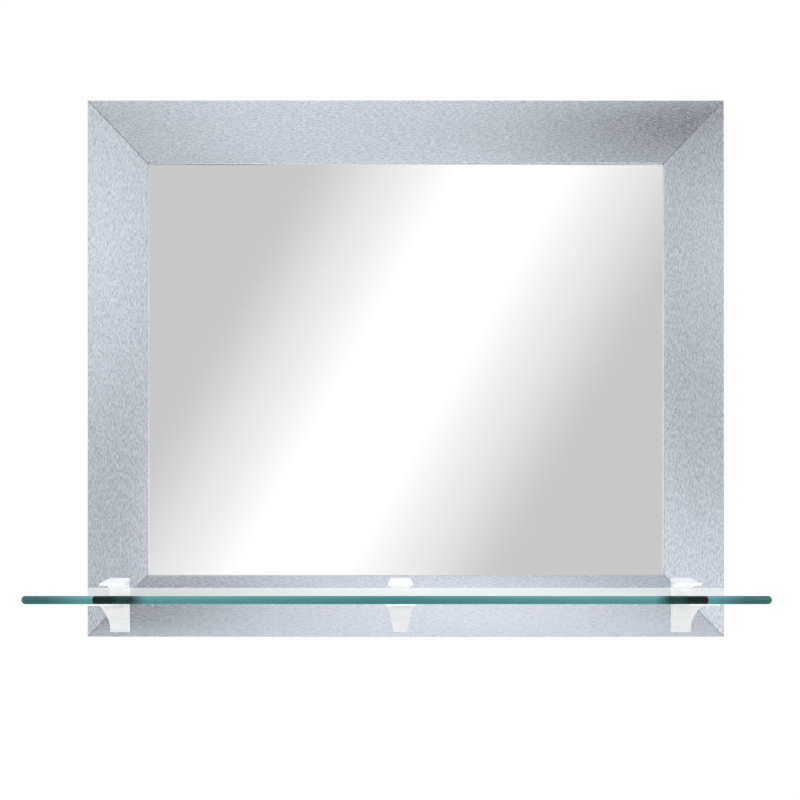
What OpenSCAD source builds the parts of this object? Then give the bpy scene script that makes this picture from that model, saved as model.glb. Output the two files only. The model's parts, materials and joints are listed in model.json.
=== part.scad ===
// Wall mirror in a flat mitred frame, with a glass shelf on three brackets.
// Millimetres. X runs to the right, Y runs back towards the wall, Z runs up.
// The origin lies on the wall, behind the centre of the frame.

/* [Frame] */
// Width over the outer edges of the frame
frame_w = 647.7; // [500:0.1:900]
// Height over the outer edges of the frame
frame_h = 546.1; // [460:0.1:800]
// Width of the flat face of each rail
rail_w = 63; // [58:0.5:75]
// Thickness of each rail, front to back
rail_t = 16; // [15:0.5:22]
// Thickness of the lip in front of the mirror
lip_t = 5; // [4:0.5:6]
// How far the lip covers the edge of the mirror
lip_w = 8; // [6:0.5:10]
// Bevel along the front edges of the rails
edge_bevel = 0.8; // [0.4:0.1:1.5]

/* [Mirror and back] */
// Thickness of the mirror glass
mirror_t = 4; // [3:0.5:5]
// Thickness of the backing board
board_t = 3; // [2:0.5:3.5]
// Gap between the edge of the glass and the rebate
pane_gap = 1.2; // [0.5:0.1:2]
// Length of a framing point, half of it in the wood
point_l = 15; // [10:0.5:18]
// Width of a framing point
point_w = 6; // [4:0.5:10]
// Thickness of a framing point
point_t = 0.6; // [0.4:0.1:1]
// Distance of the end points on the top and bottom rails from the rebate's corners
point_end_x = 58; // [30:1:80]
// Distance of the end points on the side rails from the rebate's corners
point_end_z = 88; // [30:1:110]

/* [Corner nails] */
// Length of each wing of a corner nail
nail_wing = 6; // [4:0.5:7]
// Thickness of a corner nail
nail_t = 0.8; // [0.5:0.1:1]
// How deep a corner nail goes into the wood
nail_deep = 10; // [7:0.5:12]
// Distance of the outer corner nails from the frame's edges
nail_near = 16; // [12:0.5:18]
// Distance of the inner corner nails from the frame's edges
nail_far = 44; // [40:0.5:44]

/* [Wall bumpers] */
// Thickness of a bumper, which is the gap between frame and wall
bumper_t = 5; // [4.8:0.1:8]
// Diameter of a bumper
bumper_d = 12; // [8:0.5:14]
// Distance of a bumper's centre from the frame's side edges
bumper_inset_x = 15; // [14:0.5:17]
// Distance of a bumper's centre from the frame's top and bottom edges
bumper_inset_z = 31; // [29:0.5:33]

/* [Hangers] */
// Height of the ring's axis below the top of the frame
hanger_drop = 120; // [100:1:160]
// Thickness of the folded strap
strap_t = 1; // [0.8:0.1:1.1]
// Width of the strap
strap_w = 11; // [10:0.5:12]
// Distance from the ring's axis to the screw
strap_l = 10.5; // [10:0.1:11]
// Diameter of the ring's wire
ring_wire = 2.4; // [2:0.1:2.6]
// Width of the ring between the centres of its legs
ring_w = 24; // [22:0.5:27]
// Length of the ring's straight legs
ring_leg = 5.5; // [5:0.5:9]
// Radius of the ring's upper corners
ring_corner = 2.5; // [1.5:0.1:3]
// Radial gap between the ring's wire and its loop
ring_gap = 0.05; // [0.03:0.01:0.1]
// Length of the hanger's wood screw in the wood
hanger_screw_l = 12; // [8:0.5:13]
// Diameter of the hanger's wood screw
hanger_screw_d = 3.5; // [3:0.1:4]
// Length of the hanger screw's point
hanger_screw_tip = 4; // [3:0.5:5]
// Diameter of the hanger screw's head
hanger_head_d = 7; // [6:0.1:7.5]
// Height of the hanger screw's head
hanger_head_h = 2.2; // [1.6:0.1:2.4]

/* [Shelf] */
// How far the glass shelf stands out past each side of the frame, before its sideways shift
shelf_overhang = 27.15; // [0:0.05:60]
// Depth of the glass shelf
shelf_d = 127; // [100:1:150]
// Thickness of the glass shelf
shelf_t = 8; // [6:0.5:10]
// Radius of the shelf's corners, seen from above
shelf_corner = 5.2; // [5.1:0.1:12]
// Sideways place of the brackets from the frame's centre
bracket_shift = -5.5; // [-8:0.5:8]
// Sideways place of the glass from the middle bracket
shelf_shift = -3.5; // [-6:0.5:6]
// Distance that the shelf stands off the frame's face
shelf_off = 3; // [2.8:0.1:4]

/* [Brackets] */
// Distance of an outer bracket from the frame's side edge, before the sideways shift
bracket_inset = 38.85; // [38:0.05:70]
// Height of the foot's end above the frame's bottom edge
foot_rise = 5; // [3:0.5:7]
// Drop of the foot's end below the shelf's top
foot_drop = 45.4; // [44:0.2:50]
// Thickness of the foot and of the back plate
plate_t = 2.4; // [2:0.1:2.7]
// Width of a bracket where it meets the frame
root_w = 19.7; // [18:0.1:22]
// Width of the arm at its front end
tip_w = 30.4; // [26:0.2:34]
// How soon a bracket widens from its root, 1 for straight sides
flare = 1.46; // [1:0.02:1.7]
// Width of the middle bracket's foot at its end
slim_foot_w = 14.2; // [12:0.2:17]
// Height of the bracket above the shelf's top, at the frame
brow_h = 9.8; // [9:0.1:11]
// Height of the beak's tip above the shelf's top
beak_h = 6.7; // [6.3:0.1:7.5]
// Reach of the beak from the frame's face
beak_l = 47; // [40:0.5:60]
// Clear height under the beak
beak_gap = 4.2; // [3.5:0.1:4.8]
// Reach of the beak's heel from the frame's face
heel_l = 15; // [12:0.5:20]
// Distance from the arm's front end back to the shelf's front edge
arm_setback = 4; // [4:0.5:10]
// Height of the arm's front end
arm_tip_t = 1.4; // [1:0.1:3]
// Distance from the frame's face to where the arm meets the foot's slope
knee_l = 39.5; // [36:0.5:44]
// Drop of that place below the shelf's top
knee_drop = 16; // [14:0.2:18]
// Slope of the foot below the knee, in degrees
foot_slope = 28; // [26:0.5:30]
// Radius of the hollow above the foot
foot_radius = 14; // [10:0.5:15]
// Radius of the hollow at the knee
knee_radius = 60; // [20:1:70]
// Thickness of the pad under the beak's heel
beak_pad_t = 1; // [0.6:0.1:1.5]
// Thickness of the pad in the arm
arm_pad_t = 2.3; // [1.5:0.1:3]
// Height of the arm's pad above the arm
arm_pad_proud = 0.3; // [0.2:0.1:0.6]
// Rim left beside the arm's pad
arm_pad_rim = 1.4; // [1:0.1:3]
// Distance from the shelf's back edge to the arm's pad
arm_pad_inset = 2; // [1:0.5:4]
// Rim left beside the pad under the beak
beak_pad_rim = 1; // [0.5:0.1:2]
// Distance of the beak's pad from the shelf's back edge and from the heel's end
beak_pad_inset = 0.5; // [0.3:0.1:2]
// Gap between the glass and the pad under the beak
glass_gap = 0.1; // [0.05:0.05:0.3]

/* [Bracket screws] */
// Diameter of a bracket screw
screw_d = 4; // [3:0.5:5]
// Length of a bracket screw in the bracket
screw_bite = 8.5; // [6:0.5:9]
// Drop of the upper screw below the shelf's top
screw_high = 14.5; // [13.5:0.5:15.5]
// Drop of the lower screw below the shelf's top
screw_low = 27; // [25:0.5:28]
// Diameter of a bracket screw's head
head_d = 7.6; // [6:0.1:8]
// Height of a bracket screw's head
head_h = 2.6; // [2:0.1:3]
// Length of a bracket screw's chamfered end
screw_tip = 0.5; // [0.3:0.1:1]
// Radial gap round a screw's shank
screw_gap = 0.05; // [0.03:0.01:0.2]
// Clear depth of a hole past its screw's end
screw_spare = 0.5; // [0.3:0.1:1]

/* [Hidden] */
$fn = 64;
ARC_STEPS = 10; // straight pieces in each rounded stretch of an outline
POINT_COLUMNS = 4;
POINT_ROWS = 3;
OVERCUT = 1; // how far a cutting shape stands out of what it cuts
// Shares of a screw: its point, its head's straight rim and crown, and the recess in the head
POINT_D = 0.3;
RIM_H = 0.55;
CROWN_D = 0.7;
RECESS_L = 0.58;
RECESS_W = 0.24;
RECESS_DEEP = 0.6;

// Planes, front to back
back_y = -bumper_t;
face_y = back_y - rail_t;
pane_front_y = face_y + lip_t;
board_front_y = pane_front_y + mirror_t;
board_back_y = board_front_y + board_t;

// Frame
rebate_w = frame_w - 2 * (rail_w - lip_w);
rebate_h = frame_h - 2 * (rail_w - lip_w);
LEFT = -1;
RIGHT = 1;

// Shelf and brackets
shelf_w = frame_w + 2 * shelf_overhang;
bracket_pitch = frame_w / 2 - bracket_inset;
shelf_top = -frame_h / 2 + foot_rise + foot_drop;
shelf_bottom = shelf_top - shelf_t;
shelf_back_y = face_y - shelf_off;
bracket_xs = [for (side = [LEFT, 0, RIGHT]) bracket_shift + side * bracket_pitch];
arm_l = shelf_off + shelf_d - arm_setback;
arm_top = -shelf_t - arm_pad_proud;
pad_back_l = shelf_off + arm_pad_inset;
screw_hole_r = screw_d / 2 + screw_gap;

// Hangers
hanger_x = frame_w / 2 - (rail_w - lip_w) / 2;
hanger_z = frame_h / 2 - hanger_drop;
hanger_hole_r = hanger_screw_d / 2 + screw_gap;
loop_bore_r = ring_wire / 2 + ring_gap;
loop_r = loop_bore_r + strap_t;
loop_y = back_y + loop_r;
strap_back_y = back_y + 2 * strap_t;

// Half of a bracket's width at a distance from the frame's face: it flares quickly, then less so
function half_width(reach) =
    root_w / 2 + (tip_w - root_w) / 2 * (1 - pow(1 - reach / arm_l, flare));

// Points of the arc that rounds the corner between a vertical line below it and a rising line,
// or between two rising lines: both edges are given by their angles from the X axis
function hollow(corner, angle_in, angle_out, radius) =
    let (turn = angle_in - angle_out,
        run = radius * tan(turn / 2),
        start = corner - run * [cos(angle_in), sin(angle_in)],
        centre = start + radius * [sin(angle_in), -cos(angle_in)])
    [for (i = [0 : ARC_STEPS])
        let (a = angle_in + 90 - turn * i / ARC_STEPS)
        centre + radius * [cos(a), sin(a)]];

// ---- Frame ----

// One length of moulding: X along it, Y from its outer edge inwards, Z from back to front
module moulding(length) {
    profile = [[0, 0], [rail_w - lip_w, 0], [rail_w - lip_w, rail_t - lip_t],
        [rail_w, rail_t - lip_t], [rail_w, rail_t - edge_bevel], [rail_w - edge_bevel, rail_t],
        [edge_bevel, rail_t], [0, rail_t - edge_bevel]];
    intersection() {
        rotate([90, 0, 90])
            linear_extrude(height = length, center = true) polygon(profile);
        linear_extrude(height = rail_t)
            polygon([[-length / 2, 0], [length / 2, 0], [length / 2 - rail_w, rail_w],
                [-length / 2 + rail_w, rail_w]]);
    }
}

// A rail in its place: turn 0 is the bottom rail, 90 the left, 180 the top and 270 the right
module rail(turn, length, reach) {
    difference() {
        rotate([0, turn, 0]) translate([0, back_y, -reach]) rotate([90, 0, 0]) moulding(length);
        corner_nails();
        points();
        bracket_holes();
    }
}

// Holes for the bracket screws: they are drilled in the joined frame, and may cross a mitre
module bracket_holes() {
    for (x = bracket_xs) for (drop = [screw_high, screw_low])
        translate([x, back_y + OVERCUT, shelf_top - drop]) rotate([90, 0, 0])
            cylinder(r = screw_hole_r, h = rail_t + 2 * OVERCUT);
}

module top_rail() {
    color("silver") rail(180, frame_w, frame_h / 2);
}

module bottom_rail() {
    color("silver") rail(0, frame_w, frame_h / 2);
}

module side_rail(side) {
    color("silver") difference() {
        rail(side == LEFT ? 90 : 270, frame_h, frame_w / 2);
        translate([side * hanger_x, back_y + OVERCUT, hanger_z - strap_l]) rotate([90, 0, 0])
            cylinder(r = hanger_hole_r, h = OVERCUT + hanger_screw_l + screw_spare);
    }
}

module left_rail() { side_rail(LEFT); }
module right_rail() { side_rail(RIGHT); }

// Bent steel nails, two in each mitre, one wing in each rail
module corner_nails() {
    for (sx = [LEFT, RIGHT]) for (sz = [-1, 1]) for (inset = [nail_near, nail_far])
        translate([sx * (frame_w / 2 - inset), back_y, sz * (frame_h / 2 - inset)])
            rotate([90, 0, 0]) scale_sign(-sx, -sz) linear_extrude(height = nail_deep)
                polygon([[0, 0], [nail_wing, 0], [nail_wing, nail_t], [nail_t, nail_t],
                    [nail_t, nail_wing], [0, nail_wing]]);
}

// Mirrors what follows across X or Y where the sign is negative
module scale_sign(sx, sy) {
    mirror([sx < 0 ? 1 : 0, 0, 0]) mirror([0, sy < 0 ? 1 : 0, 0]) children();
}

module corner_v_nails() {
    color("dimgray") corner_nails();
}

// ---- Mirror and back ----

module pane(front, thickness) {
    translate([-rebate_w / 2 + pane_gap, front, -rebate_h / 2 + pane_gap])
        cube([rebate_w - 2 * pane_gap, thickness, rebate_h - 2 * pane_gap]);
}

module mirror_pane() {
    color("whitesmoke") pane(pane_front_y, mirror_t);
}

module backing_board() {
    color("peru") pane(board_front_y, board_t);
}

// That many places, evenly spread over a length about its middle
function spread(count, length) = [for (i = [0 : count - 1]) length * (i / (count - 1) - 0.5)];

// One framing point, half over the board and half in the wood
module point(along_x) {
    cube([along_x ? point_w : point_l, point_t, along_x ? point_l : point_w], center = true);
}

module points() {
    translate([0, board_back_y + point_t / 2, 0]) {
        for (x = spread(POINT_COLUMNS, rebate_w - 2 * point_end_x)) for (sz = [-1, 1])
            translate([x, 0, sz * rebate_h / 2]) point(true);
        for (z = spread(POINT_ROWS, rebate_h - 2 * point_end_z)) for (sx = [LEFT, RIGHT])
            translate([sx * rebate_w / 2, 0, z]) point(false);
    }
}

module framing_points() {
    color("gray") points();
}

module wall_bumpers() {
    color("gainsboro") for (sx = [LEFT, RIGHT]) for (sz = [-1, 1])
        translate([sx * (frame_w / 2 - bumper_inset_x), 0, sz * (frame_h / 2 - bumper_inset_z)])
            rotate([90, 0, 0]) cylinder(d = bumper_d, h = bumper_t);
}

// ---- Hangers ----

// A steel strip folded round the ring's wire, both layers under one screw
module strap(side) {
    color("lightgray") translate([side * hanger_x, 0, hanger_z]) difference() {
        union() {
            translate([0, loop_y, 0]) rotate([0, 90, 0])
                cylinder(r = loop_r, h = strap_w, center = true);
            translate([-strap_w / 2, back_y, -strap_l]) cube([strap_w, 2 * strap_t, strap_l]);
            translate([0, strap_back_y, -strap_l]) rotate([90, 0, 0])
                cylinder(d = strap_w, h = 2 * strap_t);
        }
        translate([0, loop_y, 0]) rotate([0, 90, 0])
            cylinder(r = loop_bore_r, h = strap_w + 2 * OVERCUT, center = true);
        translate([0, strap_back_y + OVERCUT, -strap_l]) rotate([90, 0, 0])
            cylinder(r = hanger_hole_r, h = 2 * strap_t + 2 * OVERCUT);
    }
}

module left_hanger_strap() { strap(LEFT); }
module right_hanger_strap() { strap(RIGHT); }

// A ring of round wire: a bar through the loop, two corners, two legs and a half circle
module ring(side) {
    half = ring_w / 2;
    bar = ring_w - 2 * ring_corner;
    color("silver") translate([side * hanger_x, loop_y, hanger_z]) union() {
        rotate([0, 90, 0]) cylinder(d = ring_wire, h = bar, center = true);
        for (sx = [LEFT, RIGHT]) {
            translate([sx * (half - ring_corner), 0, -ring_corner])
                rotate([90, sx == LEFT ? 270 : 0, 0]) rotate_extrude(angle = 90)
                    translate([ring_corner, 0]) circle(d = ring_wire);
            translate([sx * half, 0, -ring_corner - ring_leg]) cylinder(d = ring_wire, h = ring_leg);
        }
        translate([0, 0, -ring_corner - ring_leg]) rotate([90, 180, 0])
            rotate_extrude(angle = 180) translate([half, 0]) circle(d = ring_wire);
    }
}

module left_hanger_ring() { ring(LEFT); }
module right_hanger_ring() { ring(RIGHT); }

// A pan-head screw with a crossed recess: its shank points along -Y from the seat at Y = 0
module pan_screw(shank_d, shank_l, head_d, head_h, tip_l) {
    difference() {
        union() {
            rotate([90, 0, 0]) cylinder(d = shank_d, h = shank_l - tip_l);
            translate([0, -shank_l + tip_l, 0]) rotate([90, 0, 0])
                cylinder(d1 = shank_d, d2 = POINT_D * shank_d, h = tip_l);
            rotate([-90, 0, 0]) cylinder(d = head_d, h = RIM_H * head_h);
            translate([0, RIM_H * head_h, 0]) rotate([-90, 0, 0])
                cylinder(d1 = head_d, d2 = CROWN_D * head_d, h = (1 - RIM_H) * head_h);
        }
        for (turn = [0, 90]) translate([0, head_h, 0]) rotate([0, turn, 0])
            cube([RECESS_L * head_d, 2 * RECESS_DEEP * head_h, RECESS_W * shank_d], center = true);
    }
}

module hanger_screws() {
    color("silver") for (side = [LEFT, RIGHT])
        translate([side * hanger_x, strap_back_y, hanger_z - strap_l])
            pan_screw(hanger_screw_d, hanger_screw_l + 2 * strap_t, hanger_head_d, hanger_head_h,
                hanger_screw_tip);
}

// ---- Shelf ----

// Toughened glass with a half-round edge all the way round
module glass_shelf() {
    r = shelf_t / 2;
    inner_w = shelf_w - 2 * shelf_corner;
    inner_d = shelf_d - 2 * shelf_corner;
    color("lightseagreen", 0.5)
        translate([bracket_shift + shelf_shift, shelf_back_y - shelf_d / 2, shelf_bottom + r]) {
            cube([inner_w, shelf_d - shelf_t, shelf_t], center = true);
            for (sx = [LEFT, RIGHT]) {
                translate([sx * (inner_w / 2 + (shelf_corner - r) / 2), 0, 0])
                    cube([shelf_corner - r, inner_d, shelf_t], center = true);
                translate([sx * (shelf_w / 2 - r), inner_d / 2, 0]) rotate([90, 0, 0])
                    half_bar(inner_d, sx == LEFT ? 90 : -90);
            }
            for (sy = [-1, 1])
                translate([-inner_w / 2, sy * (shelf_d / 2 - r), 0]) rotate([90, 0, 90])
                    half_bar(inner_w, sy < 0 ? 90 : -90);
            for (quarter = [0 : 3])
                translate([(quarter == 0 || quarter == 3 ? 1 : -1) * inner_w / 2,
                    (quarter < 2 ? 1 : -1) * inner_d / 2, 0])
                    rotate([0, 0, 90 * quarter]) round_corner();
        }
}

// Half of a round bar, on the side that the turn gives
module half_bar(length, turn) {
    linear_extrude(height = length) rotate(turn) difference() {
        circle(d = shelf_t);
        translate([-shelf_t, -2 * shelf_t]) square(2 * shelf_t);
    }
}

// A quarter disc with the same half-round edge
module round_corner() {
    r = shelf_t / 2;
    rotate_extrude(angle = 90) {
        translate([0, -r]) square([shelf_corner - r, shelf_t]);
        translate([shelf_corner - r, 0]) difference() {
            circle(r = r);
            translate([-shelf_t, -shelf_t]) square([shelf_t, 2 * shelf_t]);
        }
    }
}

// ---- Brackets ----

// Extrudes an outline drawn as [distance from the frame's face, height] across the bracket
module across(width) {
    rotate([90, 0, -90]) linear_extrude(height = width, center = true) children();
}

// Side view of a bracket, from the foot's end, out along the arm and back under the beak
module bracket_side() {
    slope_rise = (knee_l - plate_t) * tan(foot_slope);
    heel_corner = [plate_t, -knee_drop - slope_rise];
    tip_drop = -arm_top + arm_tip_t;
    arm_slope = atan((knee_drop - tip_drop) / (arm_l - knee_l));
    polygon(concat(
        [[0, -foot_drop], [plate_t, -foot_drop]],
        hollow(heel_corner, 90, foot_slope, foot_radius),
        hollow([knee_l, -knee_drop], foot_slope, arm_slope, knee_radius),
        [[arm_l, -tip_drop], [arm_l, arm_top], [plate_t, arm_top],
        [plate_t, glass_gap + beak_pad_t], [heel_l, glass_gap + beak_pad_t], [heel_l, beak_gap],
        [beak_l, beak_gap], [beak_l, beak_h], [0, brow_h]]));
}

// Plan of a bracket from one distance to another, narrowed by a rim on each side
module bracket_plan(from, to, rim) {
    reaches = [for (i = [0 : ARC_STEPS]) from + (to - from) * i / ARC_STEPS];
    polygon(concat(
        [for (reach = reaches) [half_width(reach) - rim, -reach]],
        [for (i = [ARC_STEPS : -1 : 0]) [-half_width(reaches[i]) + rim, -reaches[i]]]));
}

// Front view of a bracket whose foot narrows towards its end
module bracket_front(foot_w) {
    wide = tip_w / 2 + OVERCUT;
    knee_half = half_width(knee_l);
    polygon([[-foot_w / 2, -foot_drop], [foot_w / 2, -foot_drop], [knee_half, -knee_drop],
        [wide, -knee_drop], [wide, brow_h], [-wide, brow_h], [-wide, -knee_drop],
        [-knee_half, -knee_drop]]);
}

module bracket(index, foot_w) {
    color("white") translate([bracket_xs[index], face_y, shelf_top]) difference() {
        intersection() {
            across(2 * tip_w) bracket_side();
            translate([0, 0, -foot_drop]) linear_extrude(height = foot_drop + brow_h)
                bracket_plan(0, arm_l, 0);
            if (foot_w < root_w)
                rotate([90, 0, 0]) linear_extrude(height = arm_l) bracket_front(foot_w);
        }
        translate([0, 0, -shelf_t - arm_pad_t]) linear_extrude(height = arm_pad_t)
            bracket_plan(pad_back_l, beak_l, arm_pad_rim);
        for (drop = [screw_high, screw_low])
            translate([0, OVERCUT, -drop]) rotate([90, 0, 0])
                cylinder(r = screw_hole_r, h = OVERCUT + screw_bite + screw_spare);
    }
}

module left_bracket() { bracket(0, root_w); }
module centre_bracket() { bracket(1, slim_foot_w); }
module right_bracket() { bracket(2, root_w); }

module arm_pad(index) {
    translate([bracket_xs[index], face_y, shelf_bottom - arm_pad_t])
        linear_extrude(height = arm_pad_t) bracket_plan(pad_back_l, beak_l, arm_pad_rim);
}

module left_arm_pad() { color("darkslategray") arm_pad(0); }
module centre_arm_pad() { color("azure") arm_pad(1); }
module right_arm_pad() { color("darkslategray") arm_pad(2); }

module beak_pads() {
    color("azure") for (x = bracket_xs)
        translate([x, face_y, shelf_top + glass_gap]) linear_extrude(height = beak_pad_t)
            bracket_plan(shelf_off + beak_pad_inset, heel_l - beak_pad_inset, beak_pad_rim);
}

module bracket_screws() {
    color("silver") for (x = bracket_xs) for (drop = [screw_high, screw_low])
        translate([x, back_y, shelf_top - drop])
            pan_screw(screw_d, rail_t + screw_bite, head_d, head_h, screw_tip);
}

top_rail();
bottom_rail();
left_rail();
right_rail();
corner_v_nails();
mirror_pane();
backing_board();
framing_points();
wall_bumpers();
left_hanger_strap();
right_hanger_strap();
left_hanger_ring();
right_hanger_ring();
hanger_screws();
glass_shelf();
left_bracket();
centre_bracket();
right_bracket();
left_arm_pad();
centre_arm_pad();
right_arm_pad();
beak_pads();
bracket_screws();
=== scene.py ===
"""Wall mirror in a flat brushed-silver frame, with a glass shelf on white brackets.

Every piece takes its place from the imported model, in metres: X runs to the right, Y back towards
the wall and Z up, and the plane Y = 0 is the wall.
"""

import json
import math

import bmesh
import bpy
from bpy.props import FloatProperty, FloatVectorProperty, IntProperty, PointerProperty
from bpy.types import Operator, Panel, PropertyGroup
from mathutils import Matrix, Vector


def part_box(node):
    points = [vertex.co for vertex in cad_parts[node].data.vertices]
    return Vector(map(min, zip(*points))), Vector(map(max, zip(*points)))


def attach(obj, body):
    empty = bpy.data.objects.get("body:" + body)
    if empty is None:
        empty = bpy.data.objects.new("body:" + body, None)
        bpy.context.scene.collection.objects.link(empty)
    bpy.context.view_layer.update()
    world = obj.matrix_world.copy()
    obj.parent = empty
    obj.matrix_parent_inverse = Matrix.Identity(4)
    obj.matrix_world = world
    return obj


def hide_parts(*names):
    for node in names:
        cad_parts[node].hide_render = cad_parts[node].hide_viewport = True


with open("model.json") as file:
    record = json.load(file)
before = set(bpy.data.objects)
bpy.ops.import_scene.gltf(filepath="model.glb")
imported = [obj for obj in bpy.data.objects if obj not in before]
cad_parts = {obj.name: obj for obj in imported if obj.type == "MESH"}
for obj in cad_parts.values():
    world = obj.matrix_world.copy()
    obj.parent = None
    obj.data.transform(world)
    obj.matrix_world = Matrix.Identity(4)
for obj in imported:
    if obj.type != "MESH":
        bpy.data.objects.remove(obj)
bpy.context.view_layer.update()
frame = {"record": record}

bl_info = {
    "name": "Mirror With Shelf",
    "version": (1, 0, 0),
    "blender": (4, 5, 0),
    "location": "3D View > Sidebar > Mirror",
    "description": "Builds a framed wall mirror with a glass shelf on three brackets",
    "category": "Add Mesh",
}

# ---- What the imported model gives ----

BODY_OF = {n: body for body, nodes in frame["record"]["behaviour"]["bodies"].items() for n in nodes}

RAIL_LOW, RAIL_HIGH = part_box("bottom_rail")
FACE_Y, BACK_Y = RAIL_LOW.y, RAIL_HIGH.y
HALF_W, HALF_H = RAIL_HIGH.x, -RAIL_LOW.z
PANE_LOW, PANE_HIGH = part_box("mirror_pane")
BOARD_LOW, BOARD_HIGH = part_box("backing_board")
SHELF_LOW, SHELF_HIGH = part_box("glass_shelf")
SIDES = {"left": -1, "right": 1}
PLACES = ("left", "centre", "right")
CORNERS = ((-1, -1), (1, -1), (1, 1), (-1, 1))
TINY = 1e-6
SMOOTH_ANGLE = 35    # degrees between two faces up to which their edge is shaded smooth


def centre_and_half(low, high):
    """The middle of a box and half of its size."""
    return (low + high) / 2, (high - low) / 2


def middle(node):
    """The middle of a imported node's box."""
    return centre_and_half(*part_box(node))[0]


# ---- Sizes and colours ----


def size(name, description, default, low=0.0, high=1.0):
    return FloatProperty(name=name, description=description, default=default, min=low, max=high,
                         precision=5, subtype="DISTANCE", unit="LENGTH")


def colour(name, description, default):
    return FloatVectorProperty(name=name, description=description, default=default, size=3,
                               min=0.0, max=1.0, subtype="COLOR")


def share(name, description, default, high=1.0):
    return FloatProperty(name=name, description=description, default=default, min=0.0, max=high,
                         subtype="FACTOR")


class MouldingSettings(PropertyGroup):
    top_width: size("Top rail", "Width of the top rail", 0.0641)
    bottom_width: size("Bottom rail", "Width of the bottom rail", 0.0626)
    side_width: size("Side rails", "Width of the left and right rails", 0.0611)
    lip_width: size("Lip width", "How far the lip covers the edge of the mirror", 0.008)
    lip_thickness: size("Lip thickness", "Thickness of the lip in front of the mirror", 0.005)
    front_radius: size("Front radius", "Rounding of the front edges", 0.0008)
    back_radius: size("Back radius", "Rounding of the back edge", 0.0005)
    foil_turn: size("Foil turned over", "Width of the foil that is glued over the back", 0.0065)
    seam: size("Mitre gap", "Gap on each side of a mitre", 0.0001)
    seam_radius: size("Mitre edge", "Rounding of the edges beside a mitre", 0.0003)
    foil: colour("Foil", "Colour of the brushed silver foil", (0.657, 0.707, 0.777))
    streak: size("Streak length", "Length of the streaks in the foil", 0.0042)
    streak_width: size("Streak width", "Width of the streaks in the foil", 0.00088)
    # Painted light: the streaks' contrast differs by rail for how the light falls on each; the foil is the
    # same
    top_streaks: share("Top streaks", "Contrast of the streaks on the top rail", 0.21)
    bottom_streaks: share("Bottom streaks", "Contrast of the streaks on the bottom rail", 0.125)
    side_streaks: share("Side streaks", "Contrast of the streaks on the side rails", 0.28)
    gloss: share("Foil roughness", "Roughness of the foil along the brushing and across", 0.25)
    brushing: share("Brushing", "How much wider the foil's gloss is across the brushing", 0.8)
    fibreboard: colour("Fibreboard", "Colour of the raw moulding behind", (0.43, 0.31, 0.2))


class BackSettings(PropertyGroup):
    nail_wing: size("Nail wing", "Length of each wing of a corner nail", 0.006)
    nail_thickness: size("Nail thickness", "Thickness of a corner nail", 0.0008)
    nail_depth: size("Nail depth", "How deep a corner nail goes into the wood", 0.01)
    nail_proud: size("Nail proud", "How far a corner nail stands over the wood", 0.00012)
    nail_near: size("Outer nail", "Distance of the outer nails from the frame's edges", 0.016)
    nail_far: size("Inner nail", "Distance of the inner nails from the frame's edges", 0.044)
    point_length: size("Point length", "Length of a framing point", 0.015)
    point_width: size("Point width", "Width of a framing point", 0.006)
    point_thickness: size("Point thickness", "Thickness of a framing point", 0.0006)
    point_columns: IntProperty(name="Points along", description="Points on the top and bottom rails",
                               default=4, min=2, max=9)
    point_rows: IntProperty(name="Points up", description="Points on the side rails",
                            default=3, min=2, max=9)
    point_end_x: size("End point, along", "Distance of the end points from the corners", 0.058)
    point_end_z: size("End point, up", "Distance of the end points from the corners", 0.088)
    bumper_diameter: size("Bumper", "Diameter of a wall bumper", 0.012)
    hardboard: colour("Hardboard", "Colour of the backing board", (0.3, 0.185, 0.1))


class HangerSettings(PropertyGroup):
    strap: size("Strap thickness", "Thickness of the folded strap", 0.001)
    wire: size("Wire", "Diameter of the ring's wire", 0.0024)
    ring_width: size("Ring width", "Width between the centres of the ring's legs", 0.024)
    ring_leg: size("Ring leg", "Length of the ring's straight legs", 0.0055)
    ring_corner: size("Ring corner", "Radius of the ring's upper corners", 0.0025)
    loop_radius: size("Loop radius", "Outer radius of the strap's loop", 0.00225)
    screw_drop: size("Screw drop", "Distance from the ring's axis to the screw", 0.0105)
    nickel: colour("Nickel", "Colour of the nickel plating", (0.74, 0.69, 0.6))
    strap_screw: size("Strap screw", "Diameter of the wood screws in the straps", 0.0035)
    strap_screw_pitch: size("Strap screw pitch", "Pitch of the wood screws", 0.0013)
    strap_screw_point: size("Strap screw point", "Length of a wood screw's point", 0.004)
    bracket_screw: size("Bracket screw", "Diameter of the machine screws in the brackets", 0.004)
    bracket_screw_head: size("Bracket screw head", "Diameter of a machine screw's head", 0.0076)
    bracket_screw_pitch: size("Bracket screw pitch", "Pitch of the machine screws", 0.0007)
    bracket_screw_point: size("Bracket screw end", "Length of a machine screw's tapered end", 0.0008)
    zinc: colour("Zinc", "Colour of the zinc-plated screws", (0.66, 0.69, 0.73))


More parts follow.
